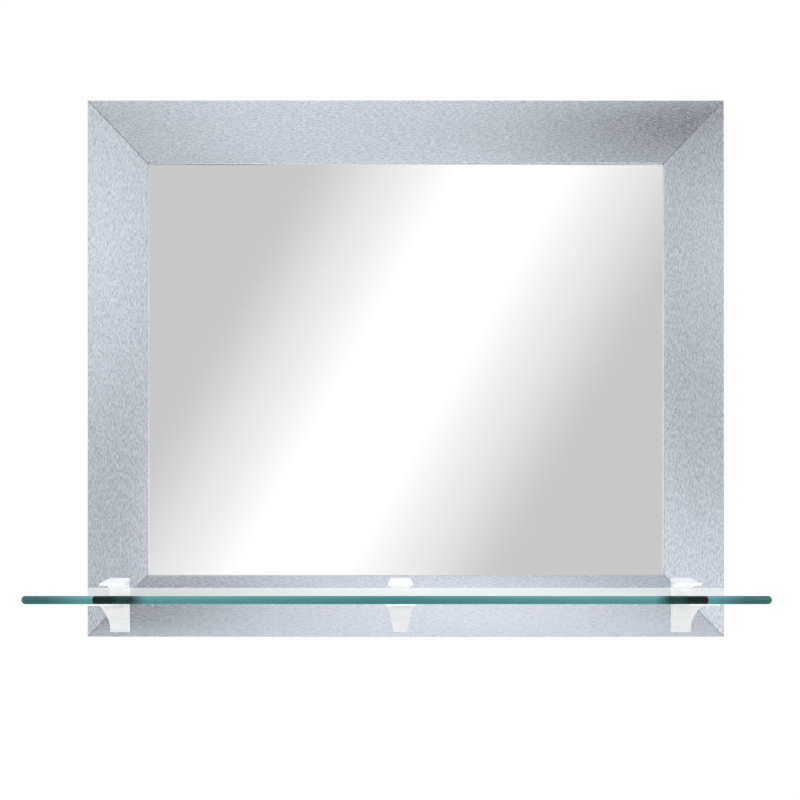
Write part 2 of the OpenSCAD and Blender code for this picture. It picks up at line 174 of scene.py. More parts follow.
class ShelfSettings(PropertyGroup):
    corner: size("Corner radius", "Radius of the shelf's corners, seen from above", 0.0052)
    glass_index: FloatProperty(name="Refraction", description="Index of refraction of the glass",
                               default=1.52, min=1.3, max=1.8)
    # Painted sheen: share of white diffuse that stands in for the glass's reflection along its surface
    painted_sheen: share("Sheen", "White sheen on the glass, seen along its surface", 0.43)
    tint: colour("Glass tint", "Colour that the glass lets through", (0.965, 0.99, 0.985))
    # Painted light along the polished edge: brighter between the brackets, darker in the middle and at the
    # ends; the teal is the glass's own
    edge_middle: colour("Edge, middle", "Colour of the polished edge in the middle", (0.048, 0.222, 0.226))
    edge_bright: colour("Edge, bright", "Colour of the edge between the brackets", (0.096, 0.31, 0.316))
    edge_end: colour("Edge, ends", "Colour of the polished edge at the ends", (0.037, 0.115, 0.113))
    # Painted highlight: pale lines along the top and bottom of the polished edge
    edge_highlight: colour("Edge, rims", "Colour of the light lines along the polished edge", (0.72, 0.8, 0.8))
    # Painted shade: the edge darkened in front of each outer bracket's dark pad
    edge_painted_shade: colour("Edge, shaded", "Colour of the edge in front of a dark pad", (0.008, 0.018, 0.016))


class BracketSettings(PropertyGroup):
    root_width: size("Root width", "Width of a bracket where it meets the frame", 0.0197)
    tip_width: size("Tip width", "Width of the arm at its front end", 0.0286)
    slim_foot: size("Middle foot", "Width of the middle bracket's foot at its end", 0.0142)
    flare: FloatProperty(name="Flare", description="How soon a bracket widens, 1 for straight sides",
                         default=1.87, min=1.0, max=3.0)
    foot_drop: size("Foot drop", "Drop of the foot's end below the shelf's top", 0.0454)
    plate: size("Plate", "Thickness of the foot and of the back plate", 0.0024)
    brow: size("Brow", "Height above the shelf's top at the frame", 0.0098)
    beak_height: size("Beak height", "Height of the beak's tip above the shelf's top", 0.0067)
    beak_reach: size("Beak reach", "Reach of the beak from the frame's face", 0.047)
    beak_gap: size("Beak gap", "Clear height under the beak", 0.0042)
    heel_reach: size("Heel reach", "Reach of the beak's heel from the frame's face", 0.015)
    heel_gap: size("Heel gap", "Clear height under the heel", 0.0011)
    arm_reach: size("Arm reach", "Reach of the arm from the frame's face", 0.126)
    arm_drop: size("Arm drop", "Drop of the arm's top below the shelf's top", 0.0083)
    tip_thickness: size("Tip thickness", "Height of the arm's front end", 0.0014)
    knee_reach: size("Knee reach", "Reach of the knee from the frame's face", 0.0395)
    knee_drop: size("Knee drop", "Drop of the knee below the shelf's top", 0.016)
    foot_slope: FloatProperty(name="Foot slope", description="Slope of the foot below the knee",
                              default=math.radians(28), subtype="ANGLE", unit="ROTATION")
    foot_radius: size("Foot radius", "Radius of the hollow above the foot", 0.014)
    knee_radius: size("Knee radius", "Radius of the hollow at the knee", 0.06)
    corner: size("Corner", "Rounding of the side view's corners", 0.0006)
    edge: size("Edge", "Rounding of the casting's edges, less than its corners", 0.00045)
    arm_pad_rim: size("Arm pad rim", "Width of the arm left free on each side of its pad", 0.0014)
    beak_pad_rim: size("Beak pad rim", "Width of the beak left free on each side of its pad", 0.001)
    enamel: colour("Enamel", "Colour of the white enamel", (0.965, 0.965, 0.965))


SENSOR = 36.0    # width of the camera's sensor, in mm


class StageSettings(PropertyGroup):
    distance: size("Camera distance", "From the camera to the frame's face", 1.545, 0.2, 9.0)
    camera_height: size("Camera height", "From the shelf's top up to the camera", 0.0955)
    focal: FloatProperty(name="Focal length", description="Focal length on a 36 mm sensor, in mm",
                         default=68.33, min=10.0, max=300.0)
    floor_drop: size("Floor drop", "Depth of the floor below the frame's lower edge", 0.42, 0.0, 3.0)
    card_distance: size("Card distance", "From the mirror to the lit card", 4.0, 0.5, 20.0)
    ambient: share("Ambient light", "Strength of the light from all round", 0.3, 5.0)
    horizon: share("Level light", "Strength of the band of light along the horizon", 2.95, 20.0)
    horizon_height: share("Level light, height", "Height of that band, as the sine of its angle", 0.14)


# ---- Meshes ----


def skin(name, rings, closed=False, material_of=None, cap_material=0):
    """Joins rings of points into a closed skin, with flat caps unless the last ring meets the first."""
    bm = bmesh.new()
    loops = [[bm.verts.new(p) for p in ring] for ring in rings]
    pairs = list(zip(loops, loops[1:]))
    if closed:
        pairs.append((loops[-1], loops[0]))
    for a, b in pairs:
        for i in range(len(a)):
            j = (i + 1) % len(a)
            face = bm.faces.new((a[i], a[j], b[j], b[i]))
            face.material_index = material_of(i) if material_of else 0
    if not closed:
        caps = [bm.faces.new(loops[0]), bm.faces.new(loops[-1])]
        for cap in caps:
            cap.normal_update()
            cap.material_index = cap_material
        bmesh.ops.triangulate(bm, faces=caps, ngon_method="EAR_CLIP")
    return to_mesh(name, bm)


def to_mesh(name, bm, angle=SMOOTH_ANGLE):
    """A mesh of it all, with its faces turned outwards and shaded smooth up to an angle in degrees."""
    bmesh.ops.recalc_face_normals(bm, faces=bm.faces)
    mesh = bpy.data.meshes.new(name)
    bm.to_mesh(mesh)
    bm.free()
    shade(mesh, angle)
    return mesh


def shade(mesh, angle=SMOOTH_ANGLE):
    """Shades a mesh smooth, apart from its edges over an angle in degrees."""
    mesh.polygons.foreach_set("use_smooth", [True] * len(mesh.polygons))
    mesh.set_sharp_from_angle(angle=math.radians(angle))


def joined(name, meshes):
    """One mesh of several that have the same material, or none yet."""
    bm = bmesh.new()
    for mesh in meshes:
        bm.from_mesh(mesh)
    out = bpy.data.meshes.new(name)
    bm.to_mesh(out)
    bm.free()
    for material in meshes[0].materials:
        out.materials.append(material)
    return out


def evaluated(mesh, add):
    """The mesh with the modifier that add() gives to a passing object."""
    passing = bpy.data.objects.new("passing", mesh)
    bpy.context.scene.collection.objects.link(passing)
    add(passing)
    graph = bpy.context.evaluated_depsgraph_get()
    out = bpy.data.meshes.new_from_object(passing.evaluated_get(graph))
    out.name = mesh.name
    bpy.data.objects.remove(passing)
    return out


def carved(mesh, *cutters):
    """The mesh with each cutter's shape taken out of it."""
    for cutter in cutters:
        tool = bpy.data.objects.new("cutter", cutter)
        bpy.context.scene.collection.objects.link(tool)

        def add(passing):
            modifier = passing.modifiers.new("Carve", "BOOLEAN")
            modifier.operation, modifier.solver, modifier.object = "DIFFERENCE", "EXACT", tool

        mesh = evaluated(mesh, add)
        bpy.data.objects.remove(tool)
    shade(mesh)
    return mesh


def piece(name, mesh, slot, nodes, *materials):
    """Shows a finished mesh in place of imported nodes, moving with their body."""
    for material in materials:
        mesh.materials.append(material)
    obj = bpy.data.objects.new(name, mesh)
    bpy.context.scene.collection.objects.link(obj)
    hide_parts(*nodes)
    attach(obj, BODY_OF[nodes[0]])


# ---- Outlines ----


def arc(centre, radius, start, end, steps):
    """Points on an arc, its angles in radians."""
    return [(centre[0] + radius * math.cos(start + (end - start) * i / steps),
             centre[1] + radius * math.sin(start + (end - start) * i / steps))
            for i in range(steps + 1)]


def rounded(points, radii, steps=4):
    """A closed outline with its corners rounded: radii holds one radius for each corner."""
    out = []
    count = len(points)
    most = 0.49    # share of each side that a rounding may take up
    for i, (corner, radius) in enumerate(zip(points, radii)):
        here = Vector(corner)
        back, ahead = Vector(points[i - 1]) - here, Vector(points[(i + 1) % count]) - here
        angle = back.angle(ahead)
        run = min(radius / math.tan(angle / 2), most * back.length, most * ahead.length) if radius else 0
        if run < 0.1 * TINY:
            out.append(tuple(here))
            continue
        start, end = here + back.normalized() * run, here + ahead.normalized() * run
        inward = (back.normalized() + ahead.normalized()).normalized()
        centre = here + inward * math.hypot(run, run * math.tan(angle / 2))
        spoke = start - centre
        turn = spoke.angle_signed(end - centre)
        out += [tuple(centre + Matrix.Rotation(-turn * k / steps, 2) @ spoke) for k in range(steps + 1)]
    return out


def drawn_in(points, inset):
    """A closed outline moved inwards, for one that runs anticlockwise."""
    out = []
    least = 0.4    # keeps the point of a sharp corner from running far in
    for i, point in enumerate(points):
        here = Vector(point)
        before = (here - Vector(points[i - 1])).normalized()
        after = (Vector(points[(i + 1) % len(points)]) - here).normalized()
        inward = Vector((-before.y - after.y, before.x + after.x)).normalized()
        lean = max(inward.dot(Vector((-after.y, after.x))), least)
        out.append(tuple(here + inward * inset / lean))
    return out


def rectangle(half_x, half_y, radius, inset, steps):
    """Points round a rectangle with round corners, moved inwards, with the outward angle of each."""
    out = []
    least = 0.0001    # smallest radius that is left at a corner
    keep = max(radius, inset + least)
    for quarter, (sx, sy) in enumerate(((1, 1), (-1, 1), (-1, -1), (1, -1))):
        for i in range(steps + 1):
            angle = (quarter + i / steps) * math.pi / 2
            out.append((sx * (half_x - keep) + (keep - inset) * math.cos(angle),
                        sy * (half_y - keep) + (keep - inset) * math.sin(angle), angle))
    return out


def circle(radius, count, place):
    """Points round a circle, each as place(across, up) gives it."""
    angles = [2 * math.pi * i / count for i in range(count)]
    return [place(radius * math.cos(angle), radius * math.sin(angle)) for angle in angles]


def turned(name, profile, count=40):
    """A turned piece about Y: the profile lists (radius, y)."""
    return skin(name, [circle(r, count, lambda a, b, y=y: Vector((a, y, b))) for r, y in profile])


def slab(name, outline, low, high, arris, place):
    """A flat sheet from low to high with its edges taken off.

    outline(inset) gives its points, moved inwards, and place(a, b, level) puts one in space.
    """
    levels = ((arris, low), (0, low + arris), (0, high - arris), (arris, high))
    return skin(name, [[place(a, b, level) for a, b in outline(inset)] for inset, level in levels])


# ---- Node trees ----


def fill(socket, value):
    """Gives a socket a link, a colour of three parts or another value."""
    if isinstance(value, bpy.types.NodeSocket):
        socket.id_data.links.new(value, socket)
    elif socket.type == "RGBA":
        socket.default_value = (*value, 1.0)
    else:
        socket.default_value = value


class Nodes:
    """Short ways to fill a node tree."""

    def __init__(self, tree):
        self.tree = tree
        self.tree.nodes.clear()

    def add(self, kind, inputs=None, **settings):
        """A node with its settings, and a link or a value for each input that is named."""
        node = self.tree.nodes.new(kind)
        for key, value in settings.items():
            setattr(node, key, value)
        for key, value in (inputs or {}).items():
            fill(node.inputs[key], value)
        return node

    def ramp(self, value, first, last, low=0.3, high=0.7, **settings):
        """A value from low to high becomes a number or colour from first to last."""
        if isinstance(first, float):
            node = self.add("ShaderNodeMapRange", {"Value": value, "From Min": low, "From Max": high,
                                                   "To Min": first, "To Max": last}, **settings)
            return node.outputs["Result"]
        node = self.add("ShaderNodeValToRGB", {"Fac": value})
        for element, place, paint in zip(node.color_ramp.elements, (low, high), (first, last)):
            element.position, element.color = place, (*paint, 1.0)
        return node.outputs["Color"]

    def blend(self, factor, first, second):
        """A colour between two."""
        return self.add("ShaderNodeMix", {0: factor, 6: first, 7: second}, data_type="RGBA").outputs[2]

    def between(self, factor, first, second):
        """A number between two."""
        return self.add("ShaderNodeMix", {0: factor, 2: first, 3: second}, data_type="FLOAT").outputs[0]

    def reckon(self, operation, first, second=0.0):
        """Arithmetic on sockets or numbers."""
        return self.add("ShaderNodeMath", {0: first, 1: second}, operation=operation).outputs[0]


# ---- Copies over the back of the frame ----


def spread_tree():
    """Geometry nodes that copy a piece over a grid in the plane of the wall, each copy facing out."""
    name = "Spread over the back"
    if name in bpy.data.node_groups:
        return bpy.data.node_groups[name]
    tree = bpy.data.node_groups.new(name, "GeometryNodeTree")
    sockets = {"Piece": "Geometry", "Columns": "Int", "Rows": "Int", "Width": "Float", "Height": "Float",
               "Centre": "Vector", "Outward X": "Float", "Outward Z": "Float", "Material": "Material"}
    for label, kind in sockets.items():
        tree.interface.new_socket(label, in_out="INPUT", socket_type="NodeSocket" + kind)
    tree.interface.new_socket("Copies", in_out="OUTPUT", socket_type="NodeSocketGeometry")

    nodes = Nodes(tree)
    given = nodes.add("NodeGroupInput").outputs
    grid = nodes.add("GeometryNodeMeshGrid", {"Size X": given["Width"], "Size Y": given["Height"],
                                              "Vertices X": given["Columns"], "Vertices Y": given["Rows"]})
    upright = nodes.add("GeometryNodeTransform", {"Geometry": grid.outputs["Mesh"],
                                                  "Rotation": (math.pi / 2, 0, 0)})
    place = nodes.add("ShaderNodeSeparateXYZ", {0: nodes.add("GeometryNodeInputPosition").outputs[0]}).outputs
    outward = {axis: nodes.reckon("MULTIPLY", nodes.reckon("SIGN", place[axis]), given["Outward " + axis])
               for axis in "XZ"}
    facing = nodes.add("ShaderNodeCombineXYZ", outward)
    turn = nodes.add("FunctionNodeAlignRotationToVector", {"Vector": facing.outputs[0]},
                     axis="Z", pivot_axis="Y")
    copies = nodes.add("GeometryNodeInstanceOnPoints", {
        "Points": upright.outputs[0], "Instance": given["Piece"], "Rotation": turn.outputs[0]})
    placed = nodes.add("GeometryNodeTransform", {
        "Geometry": copies.outputs[0], "Translation": given["Centre"]})
    real = nodes.add("GeometryNodeRealizeInstances", {"Geometry": placed.outputs[0]})
    painted = nodes.add("GeometryNodeSetMaterial", {
        "Geometry": real.outputs[0], "Material": given["Material"]})
    nodes.add("NodeGroupOutput", {"Copies": painted.outputs[0]})
    return tree


def spread(mesh, material, columns, rows, width, height, centre, outward_x=0.0, outward_z=0.0):
    """Copies of a mesh over a grid, as one plain mesh."""
    tree = spread_tree()
    values = {"Columns": columns, "Rows": rows, "Width": width, "Height": height, "Centre": centre,
              "Outward X": outward_x, "Outward Z": outward_z, "Material": material}

    def add(passing):
        modifier = passing.modifiers.new("Spread", "NODES")
        modifier.node_group = tree
        for item in tree.interface.items_tree:
            if item.in_out == "INPUT" and item.name in values:
                modifier[item.identifier] = values[item.name]

    out = evaluated(mesh, add)
    out.materials.clear()
    out.materials.append(material)
    out.polygons.foreach_set("material_index", [0] * len(out.polygons))
    shade(out)
    return out


# ---- Finishes ----


class Finish(Nodes):
    """A node material on Object coordinates, with a Principled shader."""

    def __init__(self, name, sockets=None):
        self.material = bpy.data.materials.new(name)
        self.material.use_nodes = True
        super().__init__(self.material.node_tree)
        self.shader = self.add("ShaderNodeBsdfPrincipled", sockets)
        self.out = self.add("ShaderNodeOutputMaterial", {"Surface": self.shader.outputs[0]})
        self.place = self.add("ShaderNodeTexCoord").outputs["Object"]

    def link(self, socket, source):
        fill(self.shader.inputs[socket], source)

    def grain(self, cell, detail=2.0, roughness=0.5, distortion=0.0):
        """Noise with cells of that size along X, Y and Z, in metres; most of it lies from 0.3 to 0.7."""
        cells = cell if isinstance(cell, tuple) else (cell,) * 3
        mapped = self.add("ShaderNodeMapping", {"Vector": self.place, "Scale": [1 / c for c in cells]})
        noise = self.add("ShaderNodeTexNoise", {"Vector": mapped.outputs[0], "Scale": 1.0, "Detail": detail,
                                                "Roughness": roughness, "Distortion": distortion})
        return noise.outputs["Fac"]

    def bumps(self, *layers):
        """Bumps of (height, strength, distance in metres), each on the one before."""
        normal = self.shader.inputs["Normal"]
        for height, strength, distance in reversed(layers):
            node = self.add("ShaderNodeBump", {"Height": height, "Strength": strength, "Distance": distance})
            fill(normal, node.outputs[0])
            normal = node.inputs["Normal"]

    def layered(self, factor, below, above):
        """A share of one shader over another."""
        return self.add("ShaderNodeMixShader", {0: factor, 1: below, 2: above}).outputs[0]

    def with_painted_sheen(self, painted_sheen):
        """The shader where it is seen from above, and along the surface clear glass under a painted sheen:
        white diffuse that stands in for the glass's reflection.
        """
        slant = self.add("ShaderNodeLayerWeight", {"Blend": 0.5}).outputs["Facing"]
        # Painted sheen: white diffuse in place of the glass's reflection at grazing views
        sheen = self.add("ShaderNodeBsdfDiffuse", {"Color": (0.985, 0.965, 0.97)}).outputs[0]
        clear = self.add("ShaderNodeBsdfTransparent", {"Color": (0.99, 0.995, 0.995)}).outputs[0]
        front = self.reckon("SUBTRACT", 1.0, self.add("ShaderNodeNewGeometry").outputs["Backfacing"])
        flat = self.layered(self.reckon("MULTIPLY", front, painted_sheen), clear, sheen)
        grazing = self.ramp(slant, 0.0, 1.0, low=0.8, high=0.92)
        return self.layered(grazing, self.shader.outputs[0], flat)

    def open_to_light(self, surface, soft, tint=(1.0, 1.0, 1.0), backs=False):
        """Lets lamps and blurred reflections pass straight through, and a share of the soft light.

        With backs, the camera also sees through the surface from its inner side.
        """
        path = self.add("ShaderNodeLightPath").outputs
        blurred = self.reckon("SUBTRACT", 1.0, path["Is Singular Ray"])
        passing = self.reckon("MAXIMUM", path["Is Shadow Ray"],
                              self.reckon("MULTIPLY", path["Is Glossy Ray"], blurred))
        passing = self.reckon("MAXIMUM", passing, self.reckon("MULTIPLY", path["Is Diffuse Ray"], soft))
        if backs:
            behind = self.add("ShaderNodeNewGeometry").outputs["Backfacing"]
            passing = self.reckon("MAXIMUM", passing, self.reckon("MULTIPLY", behind, path["Is Camera Ray"]))
        clear = self.add("ShaderNodeBsdfTransparent", {"Color": tint}).outputs[0]
        fill(self.out.inputs["Surface"], self.layered(passing, surface, clear))


def shades(colour, spread):
    """A darker and a lighter colour about the one given."""
    return [c * (1 - spread) for c in colour], [min(c * (1 + spread), 1.0) for c in colour]


def warmer(colour, by):
    """The colour with more red and less blue."""
    return colour[0] * (1 + by), colour[1], colour[2] * (1 - by)


def grained(name, cell, dark, light, smooth, rough, bump=0.0, detail=2.0, sockets=None):
    """A finish whose colour, roughness and bumps follow one grain."""
    finish = Finish(name, sockets)
    grain = finish.grain(cell, detail)
    finish.link("Base Color", finish.ramp(grain, dark, light))
    finish.link("Roughness", finish.ramp(grain, smooth, rough))
    if bump:
        finish.bumps((grain, bump, 0.0001))
    return finish.material


def silver_foil(name, settings, contrast, upright=False):
    """Brushed silver foil: short streaks along the rail, and a gloss that spreads across them."""
    finish = Finish(name, {"Metallic": 1.0, "Anisotropic": settings.brushing, "Anisotropic Rotation": 0.25})
    along = finish.add("ShaderNodeVectorTransform", {"Vector": (0, 0, 1) if upright else (1, 0, 0)},
                       vector_type="VECTOR", convert_from="OBJECT", convert_to="WORLD")
    finish.link("Tangent", along.outputs[0])
    long, wide = settings.streak, settings.streak_width
    cell = (wide, wide, long) if upright else (long, wide, wide)
    streaks = finish.grain(cell, roughness=0.6, distortion=0.5)
    hairs = finish.grain(tuple(c / 2 for c in cell))
    # The dark streaks are a little cooler than the foil, and the light ones a little warmer
    dark, light = (warmer(tone, by) for tone, by in zip(shades(settings.foil, contrast), (-0.02, 0.02)))
    coarse = finish.ramp(streaks, dark, light, low=0.34, high=0.66)
    finish.link("Base Color", finish.blend(finish.ramp(hairs, 0.0, 0.3), coarse, light))
    finish.link("Roughness", finish.ramp(streaks, settings.gloss - 0.02, settings.gloss + 0.03))
    finish.bumps((streaks, 0.1, 0.0002), (hairs, 0.05, 0.0001))
    return finish.material


def lip_edge_highlight(settings):
    """The foil on the thin inner edge of the lip, pale, smooth and half metal: a painted highlight along the
    lip's edge.
    """
    return grained("lip edge painted highlight", settings.streak, (0.66, 0.67, 0.69), (0.74, 0.75, 0.77),
                   smooth=0.05, rough=0.1, sockets={"Metallic": 0.45})


def raw_fibreboard(settings):
    """Sawn and planed fibreboard, with fine specks and shallow tool marks."""
    finish = Finish("raw fibreboard", {"Specular IOR Level": 0.25})
    specks = finish.grain((0.0009, 0.0006, 0.0009), detail=4.0, roughness=0.7)
    marks = finish.grain((0.03, 0.0012, 0.0012))
    finish.link("Base Color", finish.ramp(specks, *shades(settings.fibreboard, 0.22)))
    finish.link("Roughness", finish.ramp(specks, 0.8, 0.95, low=0.2, high=0.8))
    finish.bumps((specks, 0.25, 0.0002), (marks, 0.1, 0.0002))
    return finish.material


def hardboard(settings):
    """Brown hardboard with the print of a wire screen."""
    finish = Finish("screened hardboard", {"Specular IOR Level": 0.3})
    fibres = finish.grain((0.004, 0.002, 0.0014), detail=5.0, roughness=0.65)
    clouds = finish.ramp(finish.grain(0.06, detail=3.0), 0.0, 0.35, low=0.35, high=0.65)
    wires = {"Vector": finish.place, "Scale": 260.0, "Distortion": 0.6, "Detail": 1.0}
    waves = [finish.add("ShaderNodeTexWave", wires, bands_direction=axis).outputs["Fac"] for axis in "XZ"]
    screen = finish.reckon("MULTIPLY", *waves)
    dark, light = shades(settings.hardboard, 0.3)
    worn = finish.blend(clouds, finish.ramp(fibres, dark, light), light)
    finish.link("Base Color", finish.blend(finish.ramp(screen, 0.0, 0.25, low=0.0, high=1.0), worn, dark))
    finish.link("Roughness", finish.ramp(fibres, 0.62, 0.85, low=0.2, high=0.8))
    finish.bumps((screen, 0.35, 0.0003), (fibres, 0.2, 0.0002))
    return finish.material


def silvered_glass():
    """The face of a plain mirror, with the faintest cleaning marks."""
    finish = Finish("silvered glass", {"Metallic": 1.0, "Roughness": 0.0})
    marks = finish.grain((0.08, 0.08, 0.03), detail=3.0)
    finish.link("Base Color", finish.ramp(marks, (0.985, 0.987, 0.986), (0.995, 0.997, 0.996)))
    return finish.material


def ground_edge():
    """Greenish edge of cut glass, ground matt."""
    return grained("ground glass edge", 0.0004, (0.3, 0.5, 0.45), (0.5, 0.68, 0.62), smooth=0.45, rough=0.6,
                   bump=0.3, sockets={"Transmission Weight": 0.4, "IOR": 1.52})


def backing_paint():
    """Grey paint over the silvering."""
    return grained("mirror backing paint", (0.02, 0.02, 0.004), (0.2, 0.22, 0.23), (0.25, 0.27, 0.28),
                   smooth=0.4, rough=0.55, detail=3.0)


def bare_steel():
    """Strip steel, lightly darkened, with rolling marks."""
    finish = Finish("strip steel", {"Metallic": 1.0})
    marks = finish.grain((0.0004, 0.0004, 0.004), detail=3.0)
    stains = finish.grain(0.003, detail=4.0)
    metal = finish.ramp(marks, (0.4, 0.4, 0.41), (0.56, 0.56, 0.57))
    stained = finish.blend(finish.ramp(stains, 0.0, 0.5, low=0.5, high=0.75), metal, (0.3, 0.26, 0.23))
    finish.link("Base Color", stained)
    finish.link("Roughness", finish.ramp(stains, 0.32, 0.5))
    finish.bumps((marks, 0.1, 0.00005))
    return finish.material


def plated(name, colour, roughness):
    """Plated steel, slightly uneven, duller where it has been handled."""
    finish = Finish(name, {"Metallic": 1.0})
    wear = finish.grain(0.0022, detail=4.0, roughness=0.6)
    finish.link("Base Color", finish.ramp(wear, *shades(colour, 0.1)))
    finish.link("Roughness", finish.ramp(wear, roughness, roughness + 0.16, high=0.75))
    finish.bumps((finish.grain(0.0005), 0.05, 0.00005))
    return finish.material


def bumper_gel():
    """Clear polyurethane, a little cloudy."""
    return grained("clear bumper", 0.002, (0.82, 0.83, 0.83), (0.93, 0.94, 0.94), smooth=0.18, rough=0.3,
                   sockets={"Transmission Weight": 0.55, "IOR": 1.49})


def soft_pad(name, dark, light, clear=0.0):
    """A thin moulded pad, slightly grained."""
    return grained(name, 0.0006, dark, light, smooth=0.45, rough=0.65, bump=0.12, detail=3.0,
                   sockets={"Transmission Weight": clear, "IOR": 1.48})


def shelf_glass(settings):
    """Float glass: clear, with a painted white sheen that stands in for its reflection where it is seen along
    its surface.
    """
    finish = Finish("shelf glass", {"Transmission Weight": 1.0, "Roughness": 0.0,
                                    "IOR": settings.glass_index})
    haze = finish.grain((0.05, 0.03, 0.01), detail=3.0)
    finish.link("Base Color", finish.ramp(haze, settings.tint, (0.99, 1.0, 1.0)))
    finish.open_to_light(finish.with_painted_sheen(settings.painted_sheen), soft=1.0, tint=settings.tint)
    return finish.material


# Zones of painted light on the shelf's polished edge, each from where it starts to where it is full
BRIGHT_ZONE = 0.04, 0.5    # shares of half its length, from the middle outwards
END_ZONE = 0.84, 0.93
HIGHLIGHT_ZONE = 0.93, 0.98      # shares of half its height, from the middle up and down
HIGHLIGHT_STRENGTH = 0.85           # strength of the painted highlight lines there
SHADE_START = -0.0027, -0.0017    # metres inwards from the middle of an outer bracket
SHADE_BULGE = 0.0012    # how much further in the shade starts at the top and bottom
SHADE_END = 0.034, 0.048
FAINT, FAINT_END = 0.1, (0.016, 0.022)    # the share of the shade that ends sooner, and where


def polished_edge(settings):
    """The teal edge of the glass, with painted light: brighter between the brackets, painted shade in front
    of each outer bracket's dark pad, and painted highlight lines along its top and bottom.
    """
    finish = Finish("polished glass edge", {"Roughness": 0.12, "Specular IOR Level": 0.12})
    place = finish.add("ShaderNodeSeparateXYZ", {0: finish.place}).outputs
    centre, half = centre_and_half(SHELF_LOW, SHELF_HIGH)
    out = finish.reckon("MULTIPLY", finish.reckon("SUBTRACT", place["X"], centre.x), 1 / half.x)
    out = finish.reckon("ABSOLUTE", out)
    up = finish.reckon("MULTIPLY", finish.reckon("SUBTRACT", place["Z"], centre.z), 1 / half.z)
    up = finish.reckon("ABSOLUTE", up)
    # Painted light: the edge is brighter between the brackets and darker in the middle and at the ends
    tone = finish.blend(finish.ramp(out, 0.0, 1.0, *BRIGHT_ZONE), settings.edge_middle, settings.edge_bright)
    tone = finish.blend(finish.ramp(out, 0.0, 1.0, *END_ZONE), tone, settings.edge_end)
    flow = finish.grain((0.05, 0.01, 0.0012), detail=3.0)
    tone = finish.blend(finish.ramp(flow, 0.0, 0.3, low=0.35, high=0.65), tone, settings.edge_bright)
    bulge = finish.reckon("MULTIPLY", finish.reckon("POWER", up, 2.0), SHADE_BULGE)
    shaded = 0.0
    for side, sign in SIDES.items():
        across = finish.reckon("SUBTRACT", place["X"], middle(side + "_bracket").x)
        inward = finish.reckon("MULTIPLY", across, -sign)
        start = finish.ramp(finish.reckon("SUBTRACT", inward, bulge), 0.0, 1.0, *SHADE_START)
        end = finish.reckon("ADD", finish.ramp(inward, FAINT, 0.0, *FAINT_END),
                            finish.ramp(inward, 1 - FAINT, 0.0, *SHADE_END))
        shaded = finish.reckon("MAXIMUM", shaded, finish.reckon("MULTIPLY", start, end))
    # Painted shade on the edge in front of each outer bracket's dark pad
    tone = finish.blend(shaded, tone, settings.edge_painted_shade)
    # Painted highlight lines along the top and bottom of the edge
    rim = finish.ramp(up, 0.0, HIGHLIGHT_STRENGTH, *HIGHLIGHT_ZONE)
    finish.link("Base Color", finish.blend(rim, tone, settings.edge_highlight))
    finish.open_to_light(finish.shader.outputs[0], soft=1.0, tint=settings.tint, backs=True)
    return finish.material


def white_enamel(settings):
    """Satin white powder coat over a casting."""
    finish = Finish("white enamel", {"Coat Weight": 0.25, "Coat Roughness": 0.18, "Subsurface Weight": 0.6,
                                     "Subsurface Radius": (0.01, 0.01, 0.01), "Subsurface Scale": 1.0})
    peel = finish.grain(0.0011)
    clouds = finish.grain(0.012)
    finish.link("Base Color", finish.ramp(clouds, *shades(settings.enamel, 0.012)))
    finish.link("Roughness", finish.ramp(peel, 0.3, 0.4))
    finish.bumps((peel, 0.06, 0.0001))
    finish.open_to_light(finish.shader.outputs[0], soft=0.5)
    return finish.material


# ---- Frame ----


def rail_profile(s, width):
    """Outline of the moulding, (from the outer edge inwards, from the back forwards).

    With it come the numbers of its raw sides, and of those on the lip's thin inner edge.
    """
    thick = BACK_Y - FACE_Y
    inner, ledge = width - s.lip_width, thick - s.lip_thickness
    corners = [(0, 0), (s.foil_turn, 0), (inner, 0), (inner, ledge), (width, ledge), (width, thick),
               (0, thick)]
    radii = [s.back_radius, 0, s.back_radius, 0, s.back_radius, s.front_radius, s.front_radius]
    points = rounded(corners, radii)
    foil_inside = 0.0006    # width of the foil that turns in behind the lip
    board = {i for i, (u, v) in enumerate(points)
             if s.foil_turn - TINY <= u < width - foil_inside and v < ledge + TINY}
    edge = {i for i, (u, v) in enumerate(points)
            if min(u, points[(i + 1) % len(points)][0]) > width - TINY and v > ledge + TINY}
    return points, board, edge


def rail(name, s, place, half_length, width, beside):
    """One rail, mitred to the widths beside it: place(along, inwards, forwards) gives a point."""
    points, board, edge = rail_profile(s, width)
    rings = []
    for side, met in zip((-1, 1), beside):
        lean = met / width
        pair = [[place(side * (half_length - u * lean - s.seam - back), u, v) for u, v in outline]
                for outline, back in ((drawn_in(points, s.seam_radius), 0), (points, s.seam_radius))]
        rings += pair if side < 0 else pair[::-1]
    return skin(name, rings, material_of=lambda i: 1 if i in board else 2 if i in edge else 0, cap_material=1)


def nail_mesh(s):
    """A corner nail about the origin, the point of its V towards +Z, driven along -Y."""
    wing, thick = s.nail_wing, s.nail_thickness
    lean, across = Vector((1, -1)).normalized(), Vector((1, 1)).normalized()
    half = [lean * wing, lean * wing - across * thick]
    outline = [Vector((0, 0)), *half, Vector((0, -math.sqrt(2) * thick)),
               *[Vector((-p.x, p.y)) for p in reversed(half)]]
    rings = [[Vector((p.x, y, p.y)) for p in outline] for y in (s.nail_proud, -s.nail_depth)]
    return skin("corner nail", rings)


